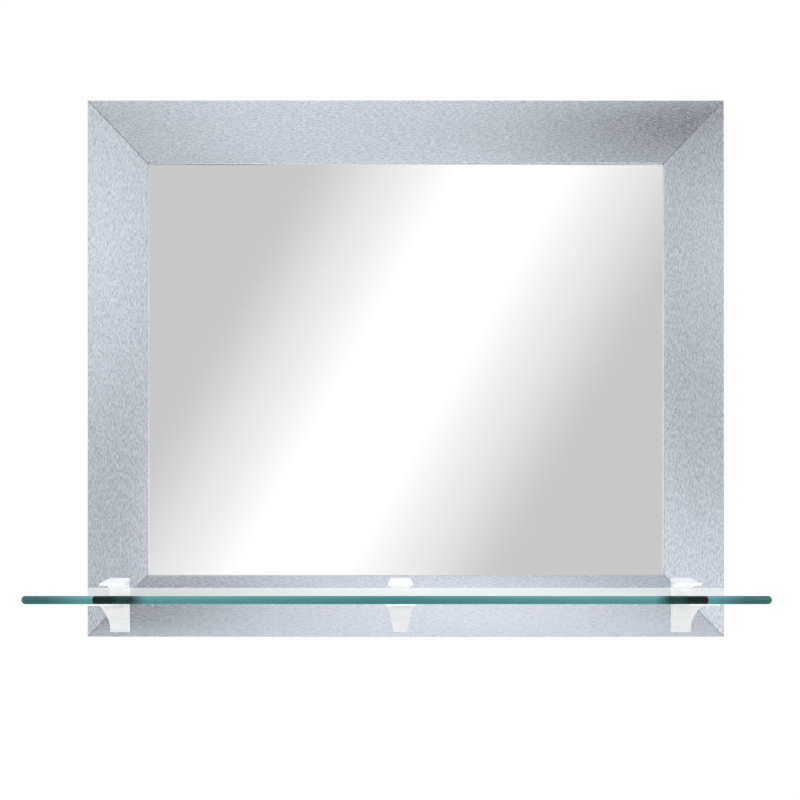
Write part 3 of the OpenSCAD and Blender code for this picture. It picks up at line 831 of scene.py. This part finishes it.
class MIRROR_SHELF_OT_moulding(Operator):
    """Make the four mitred rails of foil-wrapped moulding"""
    bl_idname = "mirror_shelf.moulding"
    bl_label = "Moulding"

    def execute(self, context):
        s = context.scene.mirror_moulding
        # Three copies of one foil, their streak contrast set for how the light falls on each rail
        over = silver_foil("silver foil over", s, s.top_streaks)
        under = silver_foil("silver foil under", s, s.bottom_streaks)
        upright = silver_foil("silver foil upright", s, s.side_streaks, upright=True)
        # The lip's inner edge gets a painted highlight finish
        board, lip = raw_fibreboard(s), lip_edge_highlight(s)
        slim, ends = (s.side_width, s.side_width), (s.bottom_width, s.top_width)
        rails = {
            "top_rail": (lambda a, u, v: (a, BACK_Y - v, HALF_H - u), HALF_W, s.top_width, slim, over),
            "bottom_rail": (lambda a, u, v: (a, BACK_Y - v, u - HALF_H), HALF_W, s.bottom_width, slim, under),
            "left_rail": (lambda a, u, v: (u - HALF_W, BACK_Y - v, a), HALF_H, s.side_width, ends, upright),
            "right_rail": (lambda a, u, v: (HALF_W - u, BACK_Y - v, a), HALF_H, s.side_width, ends, upright),
        }
        for node, (*sizes, foil) in rails.items():
            piece("moulding_" + node, rail(node, s, *sizes), "silver_foil", [node], foil, board, lip)
        return {"FINISHED"}


class MIRROR_SHELF_OT_corner_nails(Operator):
    """Make the V-shaped nails that hold the mitres"""
    bl_idname = "mirror_shelf.corner_nails"
    bl_label = "Corner nails"

    def execute(self, context):
        s = context.scene.mirror_back
        steel = bare_steel()
        nail = nail_mesh(s)
        sets = [spread(nail, steel, 2, 2, 2 * (HALF_W - inset), 2 * (HALF_H - inset), (0, BACK_Y, 0),
                       outward_x=1.0, outward_z=1.0)
                for inset in (s.nail_near, s.nail_far)]
        piece("corner_nails", joined("corner nails", sets), "nail_steel", ["corner_v_nails"])
        return {"FINISHED"}


# ---- Mirror and back ----


def sheet_of(name, low, high, arris, corner, edge=0, back=0):
    """A flat sheet in the plane of the wall; edge and back are the numbers of their materials."""
    centre, half = centre_and_half(low, high)

    def outline(inset):
        return [(a, b) for a, b, _ in rectangle(half.x, half.z, corner, inset, steps=4)]

    mesh = slab(name, outline, low.y, high.y, arris, lambda a, b, y: (centre.x + a, y, centre.z + b))
    for face in mesh.polygons:
        face.material_index = edge if abs(face.normal.y) < 0.9 else 0 if face.normal.y < 0 else back
    return mesh


class MIRROR_SHELF_OT_mirror(Operator):
    """Make the silvered pane"""
    bl_idname = "mirror_shelf.mirror"
    bl_label = "Mirror"

    def execute(self, context):
        mesh = sheet_of("mirror pane", PANE_LOW, PANE_HIGH, arris=0.0005, corner=0.001, edge=1, back=2)
        piece("mirror_glass", mesh, "mirror_glass", ["mirror_pane"], silvered_glass(), ground_edge(),
              backing_paint())
        return {"FINISHED"}


class MIRROR_SHELF_OT_backing(Operator):
    """Make the backing board"""
    bl_idname = "mirror_shelf.backing"
    bl_label = "Backing board"

    def execute(self, context):
        mesh = sheet_of("backing board", BOARD_LOW, BOARD_HIGH, arris=0.0003, corner=0.0015)
        piece("backing_sheet", mesh, "hardboard", ["backing_board"], hardboard(context.scene.mirror_back))
        return {"FINISHED"}


def point_mesh(s):
    """A flat framing point about the origin, its narrow end towards +Z."""
    half_w, half_l, half_t = s.point_width / 2, s.point_length / 2, s.point_thickness / 2
    nick, shoulder, tip, arris = 0.001, 0.1 * half_l, 0.4 * half_w, 0.00012
    right = [(half_w - nick, -half_l), (half_w, nick - half_l), (half_w, shoulder), (tip, half_l)]
    points = right + [(-a, b) for a, b in reversed(right)]
    return slab("framing point", lambda inset: drawn_in(points, inset), -half_t, half_t, arris,
                lambda a, b, y: (a, y, b))


class MIRROR_SHELF_OT_framing_points(Operator):
    """Make the flat steel points that hold the backing board"""
    bl_idname = "mirror_shelf.framing_points"
    bl_label = "Framing points"

    def execute(self, context):
        s = context.scene.mirror_back
        low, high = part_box("framing_points")
        wide, tall = high.x - low.x - s.point_length, high.z - low.z - s.point_length
        centre = (0, (low.y + high.y) / 2, 0)
        steel = plated("flat bright steel", (0.6, 0.6, 0.6), roughness=0.3)
        point = point_mesh(s)
        across, up = wide - 2 * s.point_end_x, tall - 2 * s.point_end_z
        sets = [spread(point, steel, s.point_columns, 2, across, tall, centre, outward_z=1.0),
                spread(point, steel, 2, s.point_rows, wide, up, centre, outward_x=1.0)]
        piece("framing_point_set", joined("framing points", sets), "point_steel", ["framing_points"])
        return {"FINISHED"}


class MIRROR_SHELF_OT_bumpers(Operator):
    """Make the four wall bumpers"""
    bl_idname = "mirror_shelf.bumpers"
    bl_label = "Wall bumpers"

    def execute(self, context):
        s = context.scene.mirror_back
        low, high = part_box("wall_bumpers")
        radius, thick = s.bumper_diameter / 2, high.y - low.y
        arris, taper, crown = 0.0002, 0.001, 0.28 * thick
        profile = [(radius - arris, low.y), (radius, low.y + arris), (radius, low.y + 0.25 * thick)]
        profile += arc((radius - taper - crown, high.y - crown), crown, 0, math.pi / 2, 6)
        mesh = spread(turned("bumper", profile), bumper_gel(), 2, 2, high.x - low.x - 2 * radius,
                      high.z - low.z - 2 * radius, (0, 0, 0))
        piece("wall_bumper_set", mesh, "bumper", ["wall_bumpers"])
        return {"FINISHED"}


# ---- Hangers ----


def strap_mesh(s, centre):
    """A strip folded round the wire, its two ends rounded under the screw."""
    low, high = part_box("left_hanger_strap")
    half_strip = (high.x - low.x) / 2
    thick, axis_y = s.strap, BACK_Y + s.loop_radius
    under, over = BACK_Y + thick / 2, BACK_Y + 1.5 * thick
    end, bend = s.screw_drop + half_strip, s.loop_radius - thick / 2
    loop_foot, loop_end = 0.001, math.radians(-84)
    heights = [half_strip * (1 - math.cos(math.radians(9 * i))) - end for i in range(11)]
    path = [(under, z) for z in heights] + [(under, -loop_foot)]
    path += arc((axis_y, 0), bend, math.pi, loop_end, 22)
    # From the loop the strip swings back on to its own lower half
    swing = 0.45 * (axis_y - over)
    path += [(over + swing, -bend - 0.3 * thick), (over + 0.3 * swing, -bend - 0.75 * thick),
             (over, -bend - 1.3 * thick)]
    path += [(over, z) for z in reversed(heights)]
    half_thick, arris, least = 0.49 * thick, 0.00025, 0.0004
    rings = []
    for i, (y, z) in enumerate(path):
        before, after = Vector(path[max(i - 1, 0)]), Vector(path[min(i + 1, len(path) - 1)])
        along = (after - before).normalized()
        below = max(-s.screw_drop - z, 0.0)
        half = math.sqrt(max(half_strip ** 2 - below ** 2, least ** 2))
        corners = [(-half, -half_thick), (half, -half_thick), (half, half_thick), (-half, half_thick)]
        rings.append([centre + Vector((a, y + along.y * b, z - along.x * b))
                      for a, b in rounded(corners, [min(arris, half / 2)] * 4, 2)])
    return skin("strap", rings)


def ring_mesh(s, centre):
    """Round wire bent to a D, its ends meeting in the strap."""
    half, corner, inner = s.ring_width / 2, s.ring_corner, 0.003
    drop = corner + s.ring_leg
    path = [(x, 0.0) for x in (-half + corner, -inner, 0.0, inner)]
    path += arc((half - corner, -corner), corner, math.pi / 2, 0, 8)
    path += [(half, -corner - s.ring_leg / 2)]
    path += arc((0, -drop), half, 0, -math.pi, 40)
    path += [(-half, -corner - s.ring_leg / 2)]
    path += arc((-half + corner, -corner), corner, math.pi, math.pi / 2, 8)[:-1]
    rings = []
    for i, (x, z) in enumerate(path):
        along = (Vector(path[(i + 1) % len(path)]) - Vector(path[i - 1])).normalized()
        rings.append(circle(s.wire / 2, 20, lambda a, b: (
            centre + Vector((x - along.y * a, b, z + along.x * a)))))
    return skin("ring", rings, closed=True)


def pan_screw(name, diameter, length, head, height, pitch, point):
    """A pan-head screw seated at the origin, its shank along -Y and its cross recess towards +Y."""
    crest, root, blunt = 0.5 * diameter, 0.36 * diameter, 0.15 * diameter
    plain, runout, clear = 0.0012, 0.0016, 0.002    # unthreaded lengths under the head
    profile = [(blunt, -length)]
    for i in range(int((length - clear) / pitch)):
        y = -length + pitch * (i + 0.35)
        grow = min((y + length) / point, 1.0)
        profile += [(root * max(grow, 0.4), y), (crest * max(grow, 0.45), y + 0.3 * pitch)]
    profile += [(root, -runout), (crest, -plain), (crest, 0.0), (0.485 * head, 0.0), (0.5 * head, 0.0002)]
    for i in range(9):
        angle = math.radians(5 + 10 * i)
        profile.append((0.5 * head * (0.34 + 0.66 * math.cos(angle)), height * (0.3 + 0.7 * math.sin(angle))))
    recess = []
    for turn in (0, 90):
        # Each bar of the cross tapers from above the head down into it
        rings = [[(a * reach * head, y * height, b * wide * head) for a, b in CORNERS]
                 for y, reach, wide in ((0.3, 0.14, 0.05), (1.1, 0.29, 0.075))]
        bar = skin("recess", rings)
        bar.transform(Matrix.Rotation(math.radians(turn), 4, "Y"))
        recess.append(bar)
    return carved(turned(name, profile, 32), *recess)


def screw_set(name, node, screw, finish, seat, columns, rows):
    """Like screws on a grid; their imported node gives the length, the places and the head's height."""
    low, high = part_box(node)
    diameter, head, pitch, point = screw
    mesh = pan_screw(name, diameter, seat - low.y, head, high.y - seat, pitch, point)
    centre = ((low.x + high.x) / 2, seat, (low.z + high.z) / 2)
    mesh = spread(mesh, finish, columns, rows, high.x - low.x - head, high.z - low.z - head, centre)
    piece(node[:-1] + "_set", mesh, "zinc_screw", [node])


class MIRROR_SHELF_OT_hangers(Operator):
    """Make the straps and the rings that the mirror hangs by"""
    bl_idname = "mirror_shelf.hangers"
    bl_label = "Hangers"

    def execute(self, context):
        s = context.scene.mirror_hanger
        plate = plated("nickel plate", s.nickel, roughness=0.24)
        wire = plated("nickel wire", s.nickel, roughness=0.14)
        for side in SIDES:
            low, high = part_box(side + "_hanger_strap")
            centre = Vector(((low.x + high.x) / 2, 0, high.z - s.loop_radius))
            piece(side + "_strap", strap_mesh(s, centre), "nickel_plate", [side + "_hanger_strap"], plate)
            centre.y = BACK_Y + s.loop_radius
            piece(side + "_ring", ring_mesh(s, centre), "nickel_wire", [side + "_hanger_ring"], wire)
        return {"FINISHED"}


class MIRROR_SHELF_OT_screws(Operator):
    """Make the screws of the hangers and of the brackets"""
    bl_idname = "mirror_shelf.screws"
    bl_label = "Screws"

    def execute(self, context):
        s = context.scene.mirror_hanger
        zinc = plated("bright zinc", s.zinc, roughness=0.2)
        low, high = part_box("hanger_screws")
        screw = (s.strap_screw, high.z - low.z, s.strap_screw_pitch, s.strap_screw_point)
        screw_set("hanger screw", "hanger_screws", screw, zinc, seat=BACK_Y + 2 * s.strap, columns=2, rows=1)
        screw = (s.bracket_screw, s.bracket_screw_head, s.bracket_screw_pitch, s.bracket_screw_point)
        screw_set("bracket screw", "bracket_screws", screw, zinc, seat=BACK_Y, columns=3, rows=2)
        return {"FINISHED"}


# ---- Shelf ----


class MIRROR_SHELF_OT_shelf(Operator):
    """Make the glass shelf with its pencil-round edge"""
    bl_idname = "mirror_shelf.shelf"
    bl_label = "Glass shelf"

    def execute(self, context):
        s = context.scene.mirror_shelf
        centre, half = centre_and_half(SHELF_LOW, SHELF_HIGH)
        radius, steps = half.z, 28
        rim = radius + 0.004    # width of the ring of faces that keeps the flat's shading level
        tilts = [math.radians(180 * i / steps - 90) for i in range(steps + 1)]
        stations = [(radius * (1 - math.cos(tilt)), tilt) for tilt in tilts]
        rings, normals = [], []
        for inset, tilt in ((rim, tilts[0]), *stations, (rim, tilts[-1])):
            up, out = math.sin(tilt), math.cos(tilt)
            ring = rectangle(half.x, half.y, s.corner, inset, 12)
            rings.append([centre + Vector((a, b, radius * up)) for a, b, _ in ring])
            normals += [(out * math.cos(angle), out * math.sin(angle), up) for _, _, angle in ring]
        mesh = skin("glass shelf", rings)
        for face in mesh.polygons:
            face.material_index = 0 if abs(face.normal.z) > 0.9999 else 1
        mesh.normals_split_custom_set_from_vertices(normals)
        piece("shelf_glass", mesh, "shelf_glass", ["glass_shelf"], shelf_glass(s), polished_edge(s))
        return {"FINISHED"}


# ---- Brackets ----


def half_width(s, reach):
    """Half of a bracket's width at a distance from the frame's face."""
    left = max(1 - reach / s.arm_reach, 0.0)
    return s.root_width / 2 + (s.tip_width - s.root_width) / 2 * (1 - left ** s.flare)


def hollow(corner, angle_in, angle_out, radius, steps=12):
    """Points that round the corner between a line rising at one angle and one rising less."""
    turn = angle_in - angle_out
    run = radius * math.tan(turn / 2)
    start = Vector(corner) - run * Vector((math.cos(angle_in), math.sin(angle_in)))
    centre = start + radius * Vector((math.sin(angle_in), -math.cos(angle_in)))
    return arc(centre, radius, angle_in + math.pi / 2, angle_in + math.pi / 2 - turn, steps)


def bracket_side(s):
    """Side view of a bracket, (distance from the frame's face, height over the shelf's top)."""
    heel = (s.plate, -s.knee_drop - (s.knee_reach - s.plate) * math.tan(s.foot_slope))
    tip_drop = s.arm_drop + s.tip_thickness
    arm_slope = math.atan((s.knee_drop - tip_drop) / (s.arm_reach - s.knee_reach))
    lower = hollow(heel, math.pi / 2, s.foot_slope, s.foot_radius)
    knee = hollow((s.knee_reach, -s.knee_drop), s.foot_slope, arm_slope, s.knee_radius)
    small, throat, heel_root = s.corner, 0.0015, 0.001
    corners = [(0, -s.foot_drop, 0), (s.plate, -s.foot_drop, small), *((a, b, 0) for a, b in lower + knee),
               (s.arm_reach, -tip_drop, small), (s.arm_reach, -s.arm_drop, small),
               (s.plate, -s.arm_drop, throat), (s.plate, s.heel_gap, throat),
               (s.heel_reach, s.heel_gap, small), (s.heel_reach, s.beak_gap, heel_root),
               (s.beak_reach, s.beak_gap, small), (s.beak_reach, s.beak_height, 2 * small), (0, s.brow, 0)]
    return rounded([(a, b) for a, b, _ in corners], [radius for *_, radius in corners])


def bracket_mesh(s, name, centre_x, slim):
    """A casting: its side view drawn out as a wide blank, cut across and drawn in to its plan."""
    outline = bracket_side(s)
    blank = 0.03    # half of the blank's width
    corner = [(s.edge * (1 - math.sin(a)), s.edge * (1 - math.cos(a)))
              for a in (math.radians(22.5 * i) for i in range(5))]
    rings = []
    for side in (-1, 1):
        run = [[(side * (blank - drop), reach, height) for reach, height in drawn_in(outline, inset)]
               for inset, drop in corner]
        rings += run if side < 0 else run[::-1]
    bm = bmesh.new()
    bm.from_mesh(skin(name, rings))
    # Cuts every 3.5 mm along the arm, and every 4 mm from the knee down, let it follow the plan
    cuts = [((0, 0.0035 * i, 0), (0, 1, 0)) for i in range(1, 36)]
    if slim:
        cuts += [((0, 0, -s.knee_drop - 0.004 * i), (0, 0, 1)) for i in range(8)]
    for place, normal in cuts:
        bmesh.ops.bisect_plane(bm, geom=[*bm.verts, *bm.edges, *bm.faces], dist=TINY, plane_co=place,
                               plane_no=normal)
    knee_half = half_width(s, s.knee_reach)
    for vert in bm.verts:
        side, reach, height = vert.co
        half = half_width(s, reach)
        if slim and height < -s.knee_drop:
            low = (-s.knee_drop - height) / (s.foot_drop - s.knee_drop)
            half = min(half, knee_half + (s.slim_foot / 2 - knee_half) * low)
        x = math.copysign(half - (blank - abs(side)), side)
        vert.co = centre_x + x, FACE_Y - reach, SHELF_HIGH.z + height
    bmesh.ops.triangulate(bm, faces=[f for f in bm.faces if len(f.verts) > 4])
    return to_mesh(name, bm, angle=32)


class MIRROR_SHELF_OT_brackets(Operator):
    """Make the three white brackets"""
    bl_idname = "mirror_shelf.brackets"
    bl_label = "Brackets"

    def execute(self, context):
        s = context.scene.mirror_bracket
        enamel = white_enamel(s)
        for place in PLACES:
            node = place + "_bracket"
            mesh = bracket_mesh(s, node, middle(node).x, place == "centre")
            piece(place + "_casting", mesh, "white_enamel", [node], enamel)
        return {"FINISHED"}


def pad_mesh(s, name, centre_x, rim, low, high):
    """A thin pad between two corners of a box, as wide as its bracket but for a rim on each side."""
    near, far, steps = FACE_Y - high.y, FACE_Y - low.y, 10
    corner, arris = 0.002, min(0.0003, (high.z - low.z) / 3)
    reaches = [near + (far - near) * i / steps for i in range(steps, -1, -1)]
    right = [(half_width(s, reach) - rim, -reach) for reach in reaches]
    plan = right + [(-a, b) for a, b in reversed(right)]
    radii = ([corner] + [0] * (steps - 1) + [corner]) * 2
    points = rounded(plan, radii)
    return slab(name, lambda inset: drawn_in(points, inset), low.z, high.z, arris,
                lambda a, b, z: (centre_x + a, FACE_Y + b, z))


class MIRROR_SHELF_OT_pads(Operator):
    """Make the pads under the glass and under the beaks"""
    bl_idname = "mirror_shelf.pads"
    bl_label = "Pads"

    def execute(self, context):
        s = context.scene.mirror_bracket
        dark = soft_pad("dark rubber", (0.018, 0.02, 0.02), (0.03, 0.033, 0.033))
        film = soft_pad("pale adhesive film", (0.9, 0.91, 0.91), (0.96, 0.96, 0.96))
        clear = soft_pad("clear vinyl", (0.88, 0.9, 0.9), (0.95, 0.96, 0.96), clear=0.25)
        for place in PLACES:
            node = place + "_arm_pad"
            mesh = pad_mesh(s, node, middle(node).x, s.arm_pad_rim, *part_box(node))
            if place == "centre":
                piece("centre_rest", mesh, "clear_pad", [node], clear)
                continue
            for face in mesh.polygons:
                face.material_index = 1 if face.normal.z > 0.9 else 0
            piece(place + "_rest", mesh, "dark_pad", [node], dark, film)
        pads = [pad_mesh(s, "beak pad", middle(place + "_bracket").x, s.beak_pad_rim, *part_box("beak_pads"))
                for place in PLACES]
        piece("beak_pad_set", joined("beak pads", pads), "clear_pad", ["beak_pads"], clear)
        return {"FINISHED"}


# ---- Stage ----

# The photograph's view, in its pixels: its width, the shift of the lens and the edges of the mirror
PHOTO = 800
SHIFT_RIGHT, SHIFT_UP = -0.4, 93.5
OPENING_LEFT, OPENING_RIGHT, OPENING_TOP, OPENING_BOTTOM = 148, 664, 165, 575

# Light on the card at places of the photograph: along the top and bottom rails by column, and along
# the left and right rails by row
TOP_LIGHT = ((0, 0.5), (90, 0.37), (160, 0.69), (240, 0.88), (310, 0.86), (400, 0.74), (480, 0.76),
             (580, 0.48), (640, 0.18), (700, 0.0))
BOTTOM_LIGHT = ((60, 0.0), (155, 0.0), (210, 0.49), (270, 0.82), (330, 1.01), (450, 1.2), (570, 1.14),
                (640, 0.79), (700, 0.43), (740, 0.35))
LEFT_LIGHT = ((700, 0.72), (620, 0.68), (510, 0.53), (440, 0.55), (360, 0.77), (260, 0.93), (160, 0.93),
              (60, 0.58))
RIGHT_LIGHT = ((700, 1.1), (600, 1.0), (500, 0.6), (400, 0.51), (300, 0.66), (210, 0.79), (150, 0.67),
               (60, 0.03))
LEVEL_CHANGE = 640, 210    # rows between which the light of the bottom rail becomes that of the top one
SIDE_CHANGE = 300, 510     # columns between which the light of the left rail becomes that of the right one
SIDE_GAIN = 0.87, 1.05     # of the side rails' light, at the mirror and FALL metres outwards
FALL = 0.35
BLUR = 0.1                 # metres on each side of a corner over which the two lights meet

# Light in the mirror: grey, and a bright band by its column in the photograph's row BAND_ROW
GREY = 0.578
MIRROR_LIGHT = ((140, GREY), (290, GREY), (310, 0.586), (460, 1.02), (565, 1.02), (720, 0.586), (740, GREY),
                (900, GREY))
BAND_ROW = 170
BAND_LEAN = -0.55          # metres that the band leans to the side for each metre up
LOW_TINT = 1.05, 1.01, 1.04    # of the light on the bottom rail


def card_light(nodes, at_column, at_row):
    """Strength and colour of the card's light; at_column and at_row give places on it in metres."""
    place = nodes.add("ShaderNodeSeparateXYZ", {0: nodes.add("ShaderNodeTexCoord").outputs["Object"]})
    x, z = place.outputs["X"], place.outputs["Z"]

    def curve(value, stops):
        """Light along a line: stops are (place, light)."""
        low, high = stops[0][0], stops[-1][0]
        ramp = nodes.add("ShaderNodeValToRGB", {"Fac": nodes.ramp(value, 0.0, 1.0, low, high)})
        elements = ramp.color_ramp.elements
        while len(elements) < len(stops):
            elements.new(0.5)
        for element, (where, light) in zip(elements, stops):
            element.position = (where - low) / (high - low)
            element.color = (light, light, light, 1.0)
        return nodes.add("ShaderNodeSeparateColor", {0: ramp.outputs["Color"]}).outputs["Red"]

    def softly(value, low, high):
        """From 0 to 1 with a soft start and end."""
        return nodes.ramp(value, 0.0, 1.0, low, high, interpolation_type="SMOOTHSTEP")

    def past(value, low, high):
        """How far a place lies outside two others."""
        return nodes.reckon("MAXIMUM", nodes.reckon("SUBTRACT", low, value),
                            nodes.reckon("SUBTRACT", value, high))

    top, bottom = (curve(x, [(at_column(column), light) for column, light in stops])
                   for stops in (TOP_LIGHT, BOTTOM_LIGHT))
    left, right = (curve(z, [(at_row(row), light) for row, light in stops])
                   for stops in (LEFT_LIGHT, RIGHT_LIGHT))
    high = softly(z, *map(at_row, LEVEL_CHANGE))
    level = nodes.between(high, bottom, top)
    sides = nodes.between(softly(x, *map(at_column, SIDE_CHANGE)), left, right)
    sideways = past(x, at_column(OPENING_LEFT), at_column(OPENING_RIGHT))
    upwards = past(z, at_row(OPENING_BOTTOM), at_row(OPENING_TOP))
    beside = softly(nodes.reckon("SUBTRACT", sideways, upwards), -BLUR, BLUR)
    sides = nodes.reckon("MULTIPLY", sides, nodes.ramp(sideways, *SIDE_GAIN, 0.0, FALL))
    outer = nodes.between(beside, level, sides)

    slant = nodes.reckon("ADD", x, nodes.reckon("MULTIPLY", z, BAND_LEAN))
    lean = BAND_LEAN * at_row(BAND_ROW)
    glow = curve(slant, [(at_column(column) + lean, light) for column, light in MIRROR_LIGHT])
    mirrored = nodes.add("ShaderNodeLightPath").outputs["Is Singular Ray"]
    neutral = nodes.reckon("MAXIMUM", nodes.reckon("MAXIMUM", high, beside), mirrored)
    return nodes.between(mirrored, outer, glow), nodes.blend(neutral, LOW_TINT, (1.0, 1.0, 1.0))


def lit_card(s, camera):
    """The card that the mirror and the foil reflect: soft bands of light, unseen by the camera."""
    card_y = PANE_LOW.y - s.card_distance
    sight = PANE_LOW.y - camera.location.y + s.card_distance
    pixel = sight / (s.focal / SENSOR * PHOTO)

    def at_column(column):
        return camera.location.x + (column - PHOTO / 2 + SHIFT_RIGHT) * pixel

    def at_row(row):
        return camera.location.z - (row - PHOTO / 2 - SHIFT_UP) * pixel

    material = bpy.data.materials.new("studio card")
    material.use_nodes = True
    nodes = Nodes(material.node_tree)
    strength, tint = card_light(nodes, at_column, at_row)
    shine = nodes.add("ShaderNodeEmission", {"Strength": strength, "Color": tint})
    nodes.add("ShaderNodeOutputMaterial", {"Surface": shine.outputs[0]})

    half_card, half_tall, raised = 3.2, 2.8, 0.25
    bm = bmesh.new()
    corners = [(a * half_card, card_y, camera.location.z + raised + b * half_tall) for a, b in CORNERS]
    bm.faces.new([bm.verts.new(corner) for corner in corners])
    mesh = bpy.data.meshes.new("studio card")
    bm.to_mesh(mesh)
    bm.free()
    mesh.materials.append(material)
    card = bpy.data.objects.new("studio_card", mesh)
    bpy.context.scene.collection.objects.link(card)
    card.visible_camera = card.visible_diffuse = card.visible_transmission = card.visible_shadow = False


def studio_world(s):
    """Light from all round: white to the camera, a level band for the object, and softer in its gloss."""
    gloss_light, gloss_height = (0.5, 1.0), (-0.5, 0.6)    # from below to above, and at which heights
    world = bpy.data.worlds.new("white studio")
    world.use_nodes = True
    nodes = Nodes(world.node_tree)
    path = nodes.add("ShaderNodeLightPath").outputs
    way = nodes.add("ShaderNodeSeparateXYZ", {0: nodes.add("ShaderNodeTexCoord").outputs["Generated"]})
    up = way.outputs["Z"]
    level = nodes.ramp(nodes.reckon("ABSOLUTE", up), s.horizon, 0.0, 0.0, s.horizon_height)
    cast = nodes.reckon("ADD", level, s.ambient)
    gloss = nodes.between(path["Is Singular Ray"], nodes.ramp(up, *gloss_light, *gloss_height), GREY)
    lit = nodes.between(path["Is Glossy Ray"], cast, gloss)
    seen = nodes.reckon("MAXIMUM", path["Is Camera Ray"], path["Is Transmission Ray"])
    strength = nodes.between(seen, lit, 1.0)
    sky = nodes.add("ShaderNodeBackground", {"Strength": strength, "Color": (1.0, 1.0, 1.0)})
    nodes.add("ShaderNodeOutputWorld", {"Surface": sky.outputs[0]})
    return world


def pale_floor(s):
    """A round floor below the mirror."""
    radius, forward = 1.0, 0.38
    bm = bmesh.new()
    bmesh.ops.create_circle(bm, cap_ends=True, segments=96, radius=radius)
    bmesh.ops.translate(bm, verts=bm.verts, vec=(0, -forward, -HALF_H - s.floor_drop))
    floor = bpy.data.objects.new("floor", to_mesh("floor", bm))
    floor.data.materials.append(grained("pale floor", 0.03, (0.9, 0.9, 0.9), (0.92, 0.92, 0.92),
                                        smooth=0.7, rough=0.8, detail=3.0,
                                        sockets={"Specular IOR Level": 0.2}))
    bpy.context.scene.collection.objects.link(floor)


# Lamps: place, what they point at, width, height and power in watts
LAMPS = {
    "overhead light": ((0.0, -0.7, 2.2), (0, 0, 0), 2.4, 1.6, 42.0),
    "left light": ((-2.1, -0.4, 0.6), (0, 0, -0.2), 1.2, 1.2, 18.0),
    "right light": ((2.1, -0.4, 0.6), (0, 0, -0.2), 1.2, 1.2, 18.0),
}


def lamps():
    """Soft lamps that show only in what they light."""
    for name, (place, target, width, height, power) in LAMPS.items():
        lamp = bpy.data.lights.new(name, "AREA")
        lamp.shape, lamp.size, lamp.size_y, lamp.energy = "RECTANGLE", width, height, power
        obj = bpy.data.objects.new(name, lamp)
        obj.location = place
        obj.rotation_euler = (Vector(target) - Vector(place)).to_track_quat("-Z", "Y").to_euler()
        obj.visible_camera = obj.visible_glossy = obj.visible_transmission = False
        bpy.context.scene.collection.objects.link(obj)


class MIRROR_SHELF_OT_stage(Operator):
    """Make the floor, the light and the camera"""
    bl_idname = "mirror_shelf.stage"
    bl_label = "Stage"

    def execute(self, context):
        s = context.scene.mirror_stage
        scene = context.scene
        lens = bpy.data.cameras.new("camera")
        lens.lens, lens.sensor_width, lens.sensor_height = s.focal, SENSOR, SENSOR
        lens.sensor_fit = "HORIZONTAL"
        lens.shift_x, lens.shift_y = SHIFT_RIGHT / PHOTO, SHIFT_UP / PHOTO
        camera = bpy.data.objects.new("camera", lens)
        camera.location = (middle("centre_bracket").x, FACE_Y - s.distance, SHELF_HIGH.z + s.camera_height)
        camera.rotation_euler = (math.pi / 2, 0, 0)
        scene.collection.objects.link(camera)
        scene.camera = camera
        lit_card(s, camera)
        pale_floor(s)
        scene.world = studio_world(s)
        lamps()
        scene.view_settings.view_transform = "Standard"
        scene.view_settings.look = "None"
        return {"FINISHED"}


# ---- Panel and registration ----

OPERATORS = (MIRROR_SHELF_OT_moulding, MIRROR_SHELF_OT_corner_nails, MIRROR_SHELF_OT_mirror,
             MIRROR_SHELF_OT_backing, MIRROR_SHELF_OT_framing_points, MIRROR_SHELF_OT_bumpers,
             MIRROR_SHELF_OT_hangers, MIRROR_SHELF_OT_screws, MIRROR_SHELF_OT_shelf,
             MIRROR_SHELF_OT_brackets, MIRROR_SHELF_OT_pads, MIRROR_SHELF_OT_stage)
SETTINGS = {"mirror_moulding": MouldingSettings, "mirror_back": BackSettings, "mirror_hanger": HangerSettings,
            "mirror_shelf": ShelfSettings, "mirror_bracket": BracketSettings, "mirror_stage": StageSettings}


class MIRROR_SHELF_PT_sidebar(Panel):
    """Sizes, colours and pieces of the mirror"""
    bl_idname = "MIRROR_SHELF_PT_sidebar"
    bl_label = "Mirror With Shelf"
    bl_space_type = "VIEW_3D"
    bl_region_type = "UI"
    bl_category = "Mirror"

    def draw(self, context):
        for operator in OPERATORS:
            self.layout.operator(operator.bl_idname)
        for name, group in SETTINGS.items():
            box = self.layout.box()
            box.label(text=name.replace("_", " ").capitalize())
            for key in group.__annotations__:
                box.prop(getattr(context.scene, name), key)


CLASSES = (*SETTINGS.values(), *OPERATORS, MIRROR_SHELF_PT_sidebar)


def register():
    for item in CLASSES:
        bpy.utils.register_class(item)
    for name, group in SETTINGS.items():
        setattr(bpy.types.Scene, name, PointerProperty(type=group))


def unregister():
    for name in SETTINGS:
        delattr(bpy.types.Scene, name)
    for item in reversed(CLASSES):
        bpy.utils.unregister_class(item)


def main():
    register()
    for operator in OPERATORS:
        getattr(bpy.ops.mirror_shelf, operator.bl_idname.split(".")[1])()


if __name__ == "__main__":
    main()
